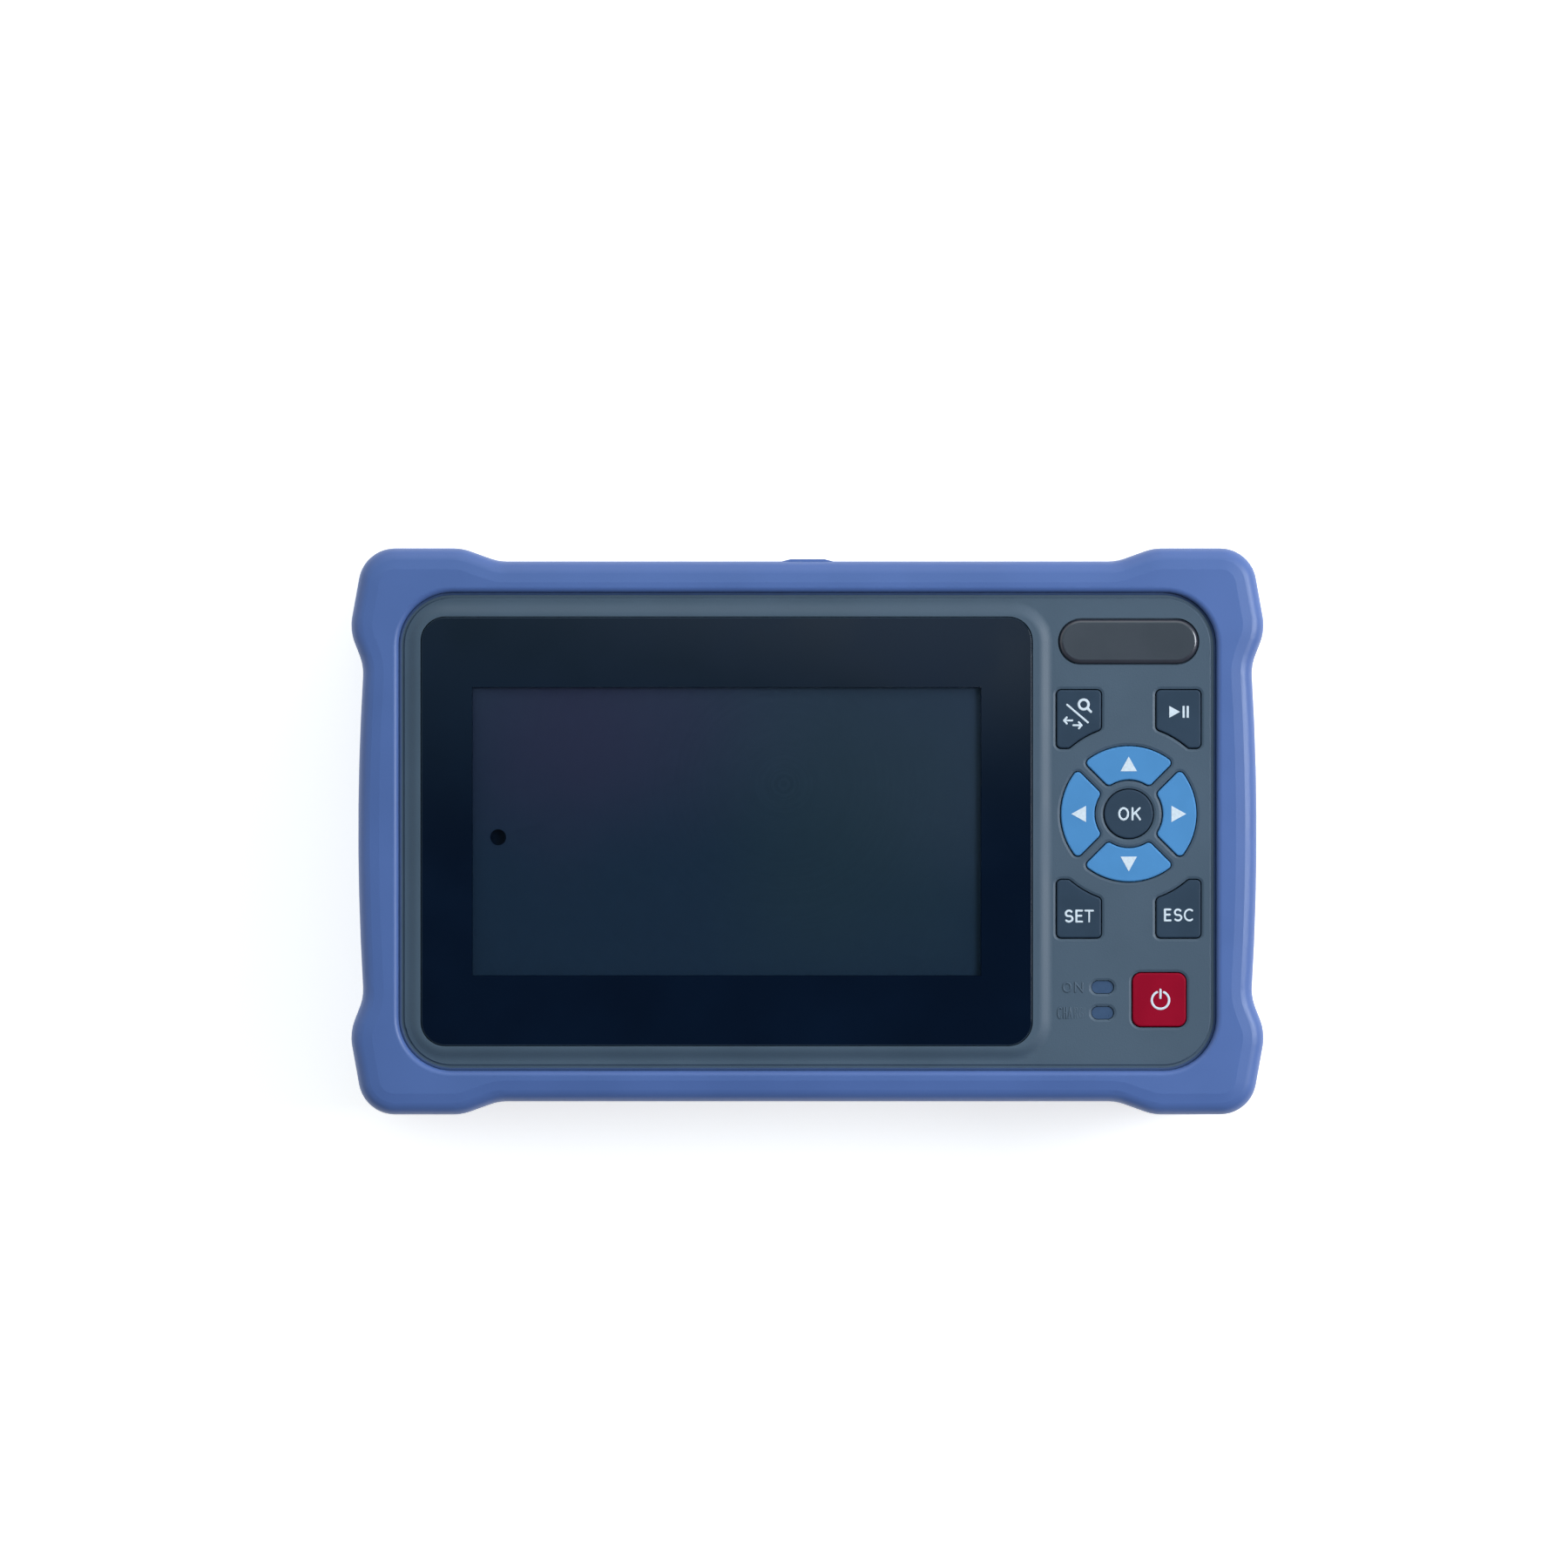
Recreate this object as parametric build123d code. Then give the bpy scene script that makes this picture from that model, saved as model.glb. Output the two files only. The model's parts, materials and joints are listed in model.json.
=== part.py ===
from build123d import *
import os
from math import sqrt

# Handheld optical time domain reflectometer in a rubber boot, lying on its back. Sizes in millimetres.
# X runs along the display to the keypad, Y towards the side with the ports, Z up from the table.
# The origin is the middle of the footprint, on the table.

# Display and glass
lcd_length = 95.04
lcd_width = 53.86
lcd_frame_x = 5.2
lcd_frame_y = 6.7
lcd_thick = 3.5
lcd_frame_corner = 0.8
film_thick = 0.15
film_dot_radius = 1.5
film_dot_from_left = 4.8
film_dot_below_middle = 1.1
glass_black_x = 9.53
glass_black_y = 13.07
glass_corner = 4.5
glass_thick = 1.1
glass_sink = 0.2
glass_edge_round = 0.25
window_margin = 1.0

# Face of the front housing
face_border_left = 3.25
face_border_side = 3.7
keypad_strip = 33.45
face_corner = 9.0
groove_width = 1.0
lip_overlap = 2.0
panel_step = 0.6
panel_slope_run = 1.6
panel_margin = 0.85
panel_soft = 2.5
panel_key_side_extra = 0.9
face_step = 0.3
face_wall = 2.1
face_edge_round = 0.25

# Shells
housing_wall = 2.2
rib_wall = 1.4
rear_depth = 21.0
front_depth = 19.7
rear_edge_round = 1.2
tongue_depth = 1.5
tongue_skin = 1.2
boss_radius = 4.0
insert_boss_radius = 3.4
boss_inset_x = 6.4
boss_inset_y = 6.4

# Boot
boot_end_wall = 5.4
boot_side_wall = 3.6
boot_front_lip = 1.6
boot_back_lip = 2.0
boot_back_reach = 8.0
boot_back_corner = 8.0
foot_height = 1.0
bumper_end_proud = 1.6
bumper_side_proud = 2.45
bumper_end_taper = 2.75
bumper_length = 18.3
bumper_ramp = 6.8
bumper_width = 15.3
bumper_end_ramp = 6.7
waist_bow = 1.0
bumper_corner = 6.8
bumper_blend = 9.0
boot_front_round = 2.6
boot_dome_width = 4.0
boot_dome_drop = 0.5
boot_back_round = 3.0
boot_lip_round = 1.0
tab_base = 9.6
tab_tip = 6.4
tab_proud = 0.4
tab_top_drop = 2.6

# Keypad
pad_from_right = 15.4
pad_above_middle = 3.27
pad_outer = 12.65
pad_inner = 6.4
pad_web = 1.9
ok_radius = 4.57
side_key_inner_x = 5.15
side_key_outer_x = 13.45
side_key_inner_y = 12.3
side_key_outer_y = 23.15
side_key_arc = 16.6
key_corner = 0.85
power_size = 10.0
power_corner = 1.6
power_right_of_pad = 5.7
power_from_edge = 12.25
lamp_length = 4.3
lamp_width = 2.5
lamp_left_of_pad = 4.85
lamp_from_edge = 14.6
lamp_pitch = 4.8
key_proud = 0.3
key_round = 0.3
key_gap = 0.2
key_flange = 0.5
key_flange_thick = 0.8
key_travel = 0.8
opening_bevel = 0.45
plunger_radius = 1.9
plunger_length = 1.2
mat_thick = 0.8
dome_top_radius = 1.6
dome_base_radius = 2.6
badge_length = 26.05
badge_width = 8.36
badge_from_edge = 8.23
badge_sink = 0.8
badge_thick = 1.15
badge_dome = 0.8

# Circuit boards
board_thick = 1.6
board_below_lcd = 3.4
board_corner = 1.5
pad_strip_width = 6.0
pad_strip_spacing = 40.0
shield_length = 40.0
shield_width = 30.0
shield_height = 3.0
shield_corner = 1.0
shield_sheet = 0.3
connector_length = 6.0
connector_width = 10.0
connector_pitch = 16.0
connector_inset = 1.0
main_inset = 0.7
main_hole_inset = 3.0
main_post_radius = 2.4
key_post_radius = 1.8
key_hole_inset = 1.9
key_board_length = 31.4
key_board_from_top = 11.03
key_board_from_bottom = 7.47
flex_width = 20.0
flex_thick = 0.2
flex_lap = 4.0

# Battery
battery_width = 34.0
battery_length = 65.0
battery_height = 18.0
battery_corner = 4.0
cradle_wall = 1.5
cradle_height = 9.0
strap_width = 12.0
strap_thick = 1.0
strap_foot = 5.6
strap_foot_height = 12.0

# Optical module
module_length = 76.0
module_width = 52.0
module_height = 13.0
module_base = 2.0
module_corner = 2.0
module_edge_round = 1.0
module_nozzle_radius = 2.0
module_body_inset = 4.5
module_lift = 4.0
module_gap = 1.8
module_hole_inset = 2.6
module_fibre_reach = 2.0

# Port bay
tray_low = 6.2
tray_depth = 12.3
tray_wall = 1.6
tray_corner = 2.5
tray_rim = 1.8
port_height = 10.8
adapter_from_end = 11.8
adapter_pitch = 19.0
adapter_flange = 13.0
adapter_flange_thick = 1.8
adapter_corner = 1.5
adapter_nose_chamfer = 0.4
adapter_slot_half = 1.0
otdr_barrel_radius = 4.0
otdr_barrel_length = 7.5
otdr_socket_radius = 3.1
meter_barrel_radius = 4.6
meter_barrel_length = 5.5
locator_barrel_radius = 3.6
locator_barrel_length = 6.5
adapter_hole_offset = 4.6
adapter_rear_radius = 3.6
adapter_rear_length = 7.0
pigtail_length = 3.3
ferrule_radius = 1.25
sleeve_radius = 1.65
fibre_radius = 1.4
usb_from_adapter = 15.0
usb_length = 9.0
usb_width = 3.3
usb_shell = 0.3
usb_tongue_length = 6.6
usb_tongue_thick = 0.7
usb_depth = 6.2
dc_from_usb = 11.0
dc_from_end = 7.8
dc_body = 9.0
dc_nose_radius = 4.0
dc_bore_radius = 2.75
dc_pin_radius = 1.0
dc_depth = 9.0
socket_reach = 1.0
socket_behind = 4.2
socket_recess = 1.0
port_board_margin = 1.0

# Port door
door_thick = 3.0
door_margin = 0.6
door_corner = 3.0
door_pin_radius = 0.75
knuckle_width = 6.0
knuckle_at = 30.0
door_seal_width = 1.2
door_seal_height = 0.4
door_seal_corner = 2.0
door_gap = 0.3

# Stand
stand_width = 60.0
stand_length = 52.0
stand_thick = 2.4
stand_corner = 5.0
stand_hinge_y = 22.0
stand_sink = 0.3
stand_window_x = 38.0
stand_window_y = 26.0
stand_window_shift = 1.0
stand_rib_width = 2.0
stand_rib_height = 0.6
stand_barrel_radius = 1.6
stand_pin_radius = 0.75
stand_pin_length = 7.0
stand_ear = 5.0
stand_gap = 0.4
notch_length = 20.0
notch_width = 7.0
notch_depth = 5.2
notch_corner = 1.0

# Speaker
speaker_radius = 10.0
speaker_height = 4.5
speaker_x = 58.0
speaker_y = -20.0
speaker_ring_wall = 1.2
speaker_magnet_radius = 6.0
speaker_cone_radius = 8.5
speaker_cone_depth = 1.0
speaker_dust_radius = 3.0
grille_hole_radius = 0.8
grille_pitch = 3.2

# Fasteners
screw_radius = 1.5
screw_head_radius = 2.7
cross_reach = 0.6
cross_width = 0.26
screw_head_height = 2.0
insert_radius = 2.1
insert_length = 6.0
small_screw_radius = 1.0
small_head_radius = 1.8
small_head_height = 1.2
small_screw_length = 5.0
adapter_head_radius = 1.7

# Clearances
boot_fit = 0.2
glass_fit = 0.15
slip_fit = 0.1
turning_fit = 0.05
part_gap = 0.3

# Heights
back_z = foot_height + boot_back_lip
split_z = back_z + rear_depth
rim_z = split_z + front_depth
face_z = rim_z + face_step
panel_z = face_z + panel_step
boot_top_z = rim_z + boot_front_lip
face_under_z = face_z - face_wall
back_inner_z = back_z + housing_wall
glass_low_z = panel_z - glass_sink - glass_thick
lcd_low_z = face_under_z - lcd_thick
main_top_z = lcd_low_z - board_below_lcd
main_low_z = main_top_z - board_thick
key_low_z = main_top_z + flex_thick
key_top_z = key_low_z + board_thick
flange_top_z = face_under_z - part_gap
flange_low_z = flange_top_z - key_flange_thick
key_top = face_z + key_proud
plunger_low_z = flange_low_z - plunger_length
dome_top_z = plunger_low_z - key_travel - slip_fit

# Plan sizes
glass_length = lcd_length + 2 * glass_black_x
glass_width = lcd_width + 2 * glass_black_y
face_length = face_border_left + glass_length + keypad_strip
face_width = glass_width + 2 * face_border_side
panel_length = glass_length + 2 * (panel_margin + panel_slope_run) + panel_key_side_extra
panel_width = glass_width + 2 * (panel_margin + panel_slope_run)
face_inset = lip_overlap + groove_width
housing_length = face_length + 2 * face_inset
housing_width = face_width + 2 * face_inset
housing_corner = face_corner + face_inset
inner_x = housing_length / 2 - housing_wall
inner_y = housing_width / 2 - housing_wall
side_y = housing_width / 2
glass_x = -face_length / 2 + face_border_left + glass_length / 2
panel_x = glass_x + panel_key_side_extra / 2
pad_x = face_length / 2 - pad_from_right
pad_y = pad_above_middle
waist_x = housing_length / 2 + boot_fit + boot_end_wall
waist_y = side_y + boot_fit + boot_side_wall
bumper_y = waist_y + bumper_side_proud
bumper_x = waist_x + bumper_end_proud
corner_x = bumper_x - bumper_end_taper
foot_start_x = corner_x - bumper_length - bumper_ramp
foot_start_y = bumper_y - bumper_width - bumper_end_ramp
boss_places = [
    (sx * (housing_length / 2 - boss_inset_x), sy * (side_y - boss_inset_y))
    for sx in (-1, 1)
    for sy in (-1, 1)
]
beyond = 1.0

# Boards, from the display and the keypad
main_length = lcd_length + 2 * (lcd_frame_x - main_inset)
main_width = glass_width
main_places = [
    (glass_x + sx * (main_length / 2 - main_hole_inset), sy * (main_width / 2 - main_hole_inset))
    for sx in (-1, 1)
    for sy in (-1, 1)
]
key_board_high_y = face_width / 2 - key_board_from_top
key_board_low_y = key_board_from_bottom - face_width / 2
key_board_width = key_board_high_y - key_board_low_y
key_board_y = (key_board_high_y + key_board_low_y) / 2
key_hole_y = key_board_width / 2 - key_hole_inset
key_places = [
    (pad_x + sx * (key_board_length / 2 - key_hole_inset), key_board_y + sy * key_hole_y)
    for sx in (-1, 1)
    for sy in (-1, 1)
]
lamp_x = pad_x - lamp_left_of_pad
lamp_ys = [lamp_from_edge - face_width / 2, lamp_from_edge - face_width / 2 - lamp_pitch]
badge_y = face_width / 2 - badge_from_edge
power_y = power_from_edge - face_width / 2 - pad_y

# Inside the rear shell, from the left wall to the right
battery_x = -inner_x + cradle_wall + battery_width / 2
battery_low_z = back_inner_z + slip_fit
battery_top_z = battery_low_z + battery_height
cradle_right_x = battery_x + battery_width / 2 + slip_fit + cradle_wall
module_x = cradle_right_x + module_gap + module_length / 2
module_low_z = back_inner_z + module_lift
strap_foot_z = back_inner_z + strap_foot_height

# Port bay, from the outer face of the housing inwards
tray_low_z = back_z + tray_low
tray_top_z = main_low_z - part_gap - tray_rim
tray_height = tray_top_z - tray_low_z
tray_mid_z = tray_low_z + tray_height / 2
port_row = 2 * adapter_pitch + usb_from_adapter + dc_from_usb
tray_length = adapter_from_end + port_row + dc_from_end
tray_back_y = side_y - tray_depth
tray_floor_y = tray_back_y + tray_wall
port_z = tray_low_z + port_height
adapter_xs = [adapter_from_end - tray_length / 2 + i * adapter_pitch for i in range(3)]
usb_x = adapter_xs[-1] + usb_from_adapter
dc_x = usb_x + dc_from_usb
adapter_rear_y = tray_back_y - adapter_rear_length + tray_wall
module_front_y = adapter_rear_y - pigtail_length - module_fibre_reach
module_y = module_front_y - module_width / 2
door_y = waist_y - door_thick / 2
hinge_z = tray_low_z + door_thick / 2
door_half = tray_length / 2 + door_margin
door_top_z = tray_top_z + door_margin
door_inner_y = waist_y - door_thick
socket_board_y = tray_back_y - socket_behind

# Stand, in its recess in the back
stand_z = back_z + stand_sink + stand_barrel_radius
stand_free_y = stand_hinge_y - stand_length
recess_top_z = stand_z + stand_barrel_radius + stand_gap
tub_top_z = recess_top_z + housing_wall
notch_top_z = back_z + notch_depth


def slab(length, width, corner, low, high, x=0.0, y=0.0):
    """A plate with rounded corners, between two heights."""
    return Pos(x, y, low) * extrude(RectangleRounded(length, width, corner), high - low)


def upright_slab(length, height, corner, y_low, y_high, x, z):
    """A plate with rounded corners that stands across Y."""
    plate = extrude(RectangleRounded(length, height, corner), y_high - y_low)
    return Pos(x, y_high, z) * Rot(90, 0, 0) * plate


def block(x_low, x_high, y_low, y_high, z_low, z_high):
    middle = Pos((x_low + x_high) / 2, (y_low + y_high) / 2, (z_low + z_high) / 2)
    return middle * Box(x_high - x_low, y_high - y_low, z_high - z_low)


def post(x, y, radius, low, high):
    return Pos(x, y, (low + high) / 2) * Cylinder(radius, high - low)


def rod_y(x, z, radius, y_low, y_high):
    return Pos(x, (y_low + y_high) / 2, z) * Rot(90, 0, 0) * Cylinder(radius, y_high - y_low)


def rod_x(y, z, radius, x_low, x_high):
    return Pos((x_low + x_high) / 2, y, z) * Rot(0, 90, 0) * Cylinder(radius, x_high - x_low)


def posts(places, radius, low, high):
    return Part() + [post(x, y, radius, low, high) for x, y in places]


def round_corners(face, points, radius):
    """Round the corners of a flat face that lie at the given points and their mirror images."""
    near = [
        v
        for v in face.vertices()
        if any(abs(abs(v.X) - x) < 0.01 and abs(abs(v.Y) - y) < 0.01 for x, y in points)
    ]
    return face.fillet_2d(radius, near)


def screw(radius, length, head_radius, head_height):
    """A pan-head screw that points down, with the underside of its head at the origin."""
    shank = Pos(0, 0, -length / 2) * Cylinder(radius, length)
    head = Pos(0, 0, head_height / 2) * Cylinder(head_radius, head_height)
    rim = head.edges().group_by(Axis.Z)[-1]
    reach = cross_reach * head_radius
    half = cross_width * head_radius / 2
    cross = block(-reach, reach, -half, half, head_height / 2, head_height + beyond)
    cross += block(-half, half, -reach, reach, head_height / 2, head_height + beyond)
    return fillet(rim, head_height / 3) + shank - cross


def screws_from_below(places, seat_z, radius, length, head_radius, head_height):
    """Screws that point up, with their heads under the seat."""
    one = Rot(180, 0, 0) * screw(radius, length, head_radius, head_height)
    return Compound([Pos(x, y, seat_z) * one for x, y in places])


# Boot


def boot_outline():
    """Plan of the boot: a waist on each side, and a bumper that swells out at each corner."""
    waist_end = (foot_start_x, waist_y)
    bumper_start = (foot_start_x + bumper_ramp, bumper_y)
    corner = (corner_x, bumper_y)
    end_tip = (bumper_x, bumper_y - bumper_width)
    end_dip = (waist_x - waist_bow, foot_start_y)
    right_half = [waist_end, bumper_start, corner, end_tip, end_dip]
    left_half = [(-x, y) for x, y in reversed(right_half)]
    upper = Polyline(*left_half, *right_half)
    lower = Polyline(*[(x, -y) for x, y in left_half], *[(x, -y) for x, y in right_half])
    right = ThreePointArc(end_dip, (waist_x, 0), (end_dip[0], -end_dip[1]))
    left = ThreePointArc((-end_dip[0], end_dip[1]), (-waist_x, 0), (-end_dip[0], -end_dip[1]))
    face = make_face([*upper.edges(), *lower.edges(), *right.edges(), *left.edges()]).face()
    face = round_corners(face, [corner], bumper_corner)
    return round_corners(face, [waist_end, bumper_start, end_tip, end_dip], bumper_blend)


def tab(low, high, root):
    """The pull tab in the middle of the port side, tapered in plan and rooted in what carries it."""
    top_y = waist_y + tab_proud
    plan = make_face(
        Polyline(
            (-tab_base / 2, waist_y - root),
            (-tab_base / 2, waist_y),
            (-tab_tip / 2, top_y),
            (tab_tip / 2, top_y),
            (tab_base / 2, waist_y),
            (tab_base / 2, waist_y - root),
            close=True,
        )
    )
    return Pos(0, 0, low) * extrude(plan, high - low)


def port_opening(grow):
    """The hole in the boot for the port door: square corners at the hinge, round ones above."""
    half = door_half + grow
    low = tray_low_z - grow
    high = door_top_z + grow
    outer_y = bumper_y + beyond
    opening = upright_slab(2 * half, high - low, door_corner, inner_y, outer_y, 0, (low + high) / 2)
    return opening + block(-half, half, inner_y, outer_y, low, low + door_corner)


def make_boot():
    body = extrude(boot_outline(), boot_top_z)
    body = chamfer(body.edges().group_by(Axis.Z)[-1], boot_dome_drop, boot_dome_width)
    shoulder_z = boot_top_z - boot_dome_drop
    body = fillet([e for e in body.edges() if abs(e.center().Z - shoulder_z) < 0.01], boot_front_round)
    body = fillet(body.edges().group_by(Axis.Z)[0], boot_back_round)
    fit_corner = housing_corner + boot_fit
    body -= slab(housing_length + 2 * boot_fit, housing_width + 2 * boot_fit, fit_corner, back_z, rim_z)
    window_x = housing_length - 2 * lip_overlap
    window_y = housing_width - 2 * lip_overlap
    body -= slab(window_x, window_y, housing_corner - lip_overlap, rim_z - beyond, boot_top_z + beyond)
    lip = [
        e
        for e in body.edges().group_by(Axis.Z)[-1]
        if abs(e.center().X) < window_x / 2 + slip_fit and abs(e.center().Y) < window_y / 2 + slip_fit
    ]
    body = fillet(lip, boot_lip_round)
    back_x = housing_length - 2 * boot_back_reach
    back_y = housing_width - 2 * boot_back_reach
    body -= slab(back_x, back_y, boot_back_corner, -beyond, back_z + beyond)
    body -= block(-foot_start_x, foot_start_x, -bumper_y - beyond, bumper_y + beyond, -beyond, foot_height)
    body -= block(-bumper_x - beyond, bumper_x + beyond, -foot_start_y, foot_start_y, -beyond, foot_height)
    body += tab(door_top_z + door_gap, boot_top_z - tab_top_drop, boot_side_wall / 2)
    body -= port_opening(door_gap)
    return body


# Housing


def key_shapes():
    """Plan of each key about the middle of the arrow pad, and the place of its plunger."""
    reach = pad_outer + pad_web
    tip = pad_web / sqrt(2)
    wedge = make_face(Polyline((tip, 0), (tip + reach, reach), (tip + reach, -reach), close=True))
    arrow = (Circle(pad_outer) - Circle(pad_inner)) & wedge
    arrow = fillet(arrow.vertices(), key_corner)
    middle = (pad_outer + pad_inner) / 2
    shapes = {
        "key_right": (arrow, middle, 0),
        "key_up": (Rot(0, 0, 90) * arrow, 0, middle),
        "key_left": (Rot(0, 0, 180) * arrow, -middle, 0),
        "key_down": (Rot(0, 0, 270) * arrow, 0, -middle),
        "key_ok": (Circle(ok_radius), 0, 0),
    }
    side_x = (side_key_inner_x + side_key_outer_x) / 2
    side_y_mid = (side_key_inner_y + side_key_outer_y) / 2
    side_length = side_key_outer_x - side_key_inner_x
    side_width = side_key_outer_y - side_key_inner_y
    for name, sx, sy in (("key_zoom", -1, 1), ("key_run", 1, 1), ("key_set", -1, -1), ("key_esc", 1, -1)):
        key = Pos(sx * side_x, sy * side_y_mid) * Rectangle(side_length, side_width) - Circle(side_key_arc)
        key = fillet(key.vertices(), key_corner)
        plunger_y = (side_key_outer_y + side_key_arc) / 2
        shapes[name] = (key, sx * side_x, sy * plunger_y)
    power = Pos(power_right_of_pad, power_y) * RectangleRounded(power_size, power_size, power_corner)
    shapes["key_power"] = (power, power_right_of_pad, power_y)
    return shapes


def face_cut(shape, grow, top):
    """A hole through the face for a key or lamp, with a bevel round its mouth."""
    hole = Pos(0, 0, face_under_z - beyond) * extrude(offset(shape, grow), top - face_under_z + 2 * beyond)
    mouth = extrude(offset(shape, grow + opening_bevel), -opening_bevel, taper=45)
    return hole + Pos(0, 0, top) * mouth


def lamp_shape(shrink=0.0):
    return SlotOverall(lamp_length - 2 * shrink, lamp_width - 2 * shrink)


def badge_shape(grow=0.0):
    return Pos(pad_x, badge_y) * SlotOverall(badge_length + 2 * grow, badge_width + 2 * grow)


def raised_panel():
    """The raised field round the glass, with a soft sloped shoulder on every side."""
    corner = glass_corner + panel_margin + panel_slope_run
    panel = slab(panel_length, panel_width, corner, rim_z, panel_z, panel_x)
    panel = chamfer(panel.edges().group_by(Axis.Z)[-1], panel_step, panel_slope_run)
    return fillet(panel.edges().group_by(Axis.Z)[-1], panel_soft)


def face_plate():
    """The face with its raised field, and a hollow curve where the two meet."""
    plate = slab(face_length, face_width, face_corner, rim_z, face_z)
    plate = fillet(plate.edges().group_by(Axis.Z)[-1], face_edge_round) + raised_panel()
    foot = []
    for edge in plate.edges():
        box = edge.bounding_box()
        level = max(abs(box.min.Z - face_z), abs(box.max.Z - face_z)) < 0.01
        reach_x = max(abs(box.min.X - panel_x), abs(box.max.X - panel_x))
        reach_y = max(abs(box.min.Y), abs(box.max.Y))
        if level and reach_x < panel_length / 2 + slip_fit and reach_y < panel_width / 2 + slip_fit:
            foot.append(edge)
    return fillet(foot, panel_soft)


def tray_cut():
    """The hole in the port side that the bay is seated in."""
    length = tray_length + 2 * slip_fit
    height = tray_height + 2 * slip_fit
    corner = tray_corner + slip_fit
    return upright_slab(length, height, corner, inner_y - beyond, side_y + beyond, 0, tray_mid_z)


def housing_tongue(skin):
    length = housing_length - 2 * skin
    width = housing_width - 2 * skin
    return slab(length, width, housing_corner - skin, split_z - tongue_depth, split_z)


def make_front_housing():
    outer = slab(housing_length, housing_width, housing_corner, split_z, rim_z)
    inner_corner = housing_corner - housing_wall
    hollow = slab(2 * inner_x, 2 * inner_y, inner_corner, split_z - beyond, face_under_z)
    shell = outer + face_plate() - hollow
    tongue = housing_tongue(tongue_skin + slip_fit)
    tongue -= slab(2 * inner_x, 2 * inner_y, inner_corner, split_z - tongue_depth - beyond, split_z + beyond)
    ribs = lcd_frame_ribs()
    bosses = posts(boss_places, insert_boss_radius, split_z, face_under_z)
    main_posts = posts(main_places, main_post_radius, main_top_z, face_under_z)
    key_posts = posts(key_places, key_post_radius, key_top_z, face_under_z)
    shell += tongue + ribs + main_posts + key_posts + (bosses & outer)
    shell -= slab(
        glass_length + 2 * glass_fit, glass_width + 2 * glass_fit, glass_corner + glass_fit,
        glass_low_z, panel_z + beyond, glass_x,
    )
    window_x = lcd_length + 2 * window_margin
    window_y = lcd_width + 2 * window_margin
    shell -= slab(window_x, window_y, window_margin, face_under_z - beyond, panel_z, glass_x)
    for shape, _, _ in key_shapes().values():
        shell -= Pos(pad_x, pad_y) * face_cut(shape, key_gap, face_z)
    for y in lamp_ys:
        shell -= Pos(lamp_x, y) * face_cut(lamp_shape(), 0.0, face_z)
    shell -= Pos(0, 0, face_z - badge_sink) * extrude(badge_shape(key_gap), badge_sink + beyond)
    shell -= posts(boss_places, insert_radius, split_z - beyond, split_z + insert_length + part_gap)
    shell -= posts(main_places, small_screw_radius, main_top_z - beyond, main_top_z + small_screw_length)
    key_screw_top_z = key_low_z + small_screw_length
    shell -= posts(key_places, small_screw_radius, key_top_z - beyond, key_screw_top_z)
    return shell - tray_cut()


def lcd_frame_ribs():
    """The wall under the face that locates the display."""
    length = lcd_length + 2 * (lcd_frame_x + slip_fit)
    width = lcd_width + 2 * (lcd_frame_y + slip_fit)
    outer_length = length + 2 * rib_wall
    outer_width = width + 2 * rib_wall
    outer = slab(outer_length, outer_width, rib_wall, lcd_low_z, face_under_z, glass_x)
    return outer - slab(length, width, lcd_frame_corner, lcd_low_z - beyond, face_under_z + beyond, glass_x)


def grille_places():
    """Hexagonal pattern of holes about the middle of the speaker."""
    reach = speaker_radius - speaker_ring_wall - grille_hole_radius
    places = []
    for row in range(-2, 3):
        for column in range(-3, 4):
            x = (column + row % 2 / 2) * grille_pitch
            y = row * grille_pitch * sqrt(3) / 2
            if x * x + y * y < reach * reach:
                places.append((speaker_x + x, speaker_y + y))
    return places


def make_rear_housing():
    outer = slab(housing_length, housing_width, housing_corner, back_z, split_z)
    outer = fillet(outer.edges().group_by(Axis.Z)[0], rear_edge_round)
    inner_corner = housing_corner - housing_wall
    hollow = slab(2 * inner_x, 2 * inner_y, inner_corner, back_inner_z, split_z + beyond)
    groove = Pos(0, 0, -slip_fit) * housing_tongue(tongue_skin) + housing_tongue(tongue_skin)
    shell = outer - hollow
    features = posts(boss_places, boss_radius, back_z, split_z - tongue_depth - part_gap)
    features += stand_tub()
    features += battery_cradle()
    features += posts(module_places(), main_post_radius, back_z, module_low_z)
    features += posts(strap_places(), main_post_radius, back_z, strap_foot_z)
    ring_radius = speaker_radius + slip_fit
    ring_top_z = back_inner_z + speaker_height
    ring = post(speaker_x, speaker_y, ring_radius + speaker_ring_wall, back_z, ring_top_z)
    features += ring - post(speaker_x, speaker_y, ring_radius, back_inner_z, split_z)
    shell += features & outer
    shell -= groove
    shell -= stand_recess()
    shell -= posts(boss_places, screw_head_radius + slip_fit, back_z - beyond, screw_seat_z())
    shell -= posts(boss_places, screw_radius + slip_fit, back_z, split_z + beyond)
    hole_low = back_inner_z + part_gap
    shell -= posts(module_places(), small_screw_radius, hole_low, module_low_z + beyond)
    strap_hole_z = strap_foot_z - small_screw_length
    shell -= posts(strap_places(), small_screw_radius, strap_hole_z, strap_foot_z + beyond)
    shell -= posts(grille_places(), grille_hole_radius, back_z - beyond, back_inner_z + beyond)
    return shell - tray_cut()


def screw_seat_z():
    """Height of the step that the head of each housing screw bears on, from below."""
    return split_z - tongue_depth - insert_length


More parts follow.
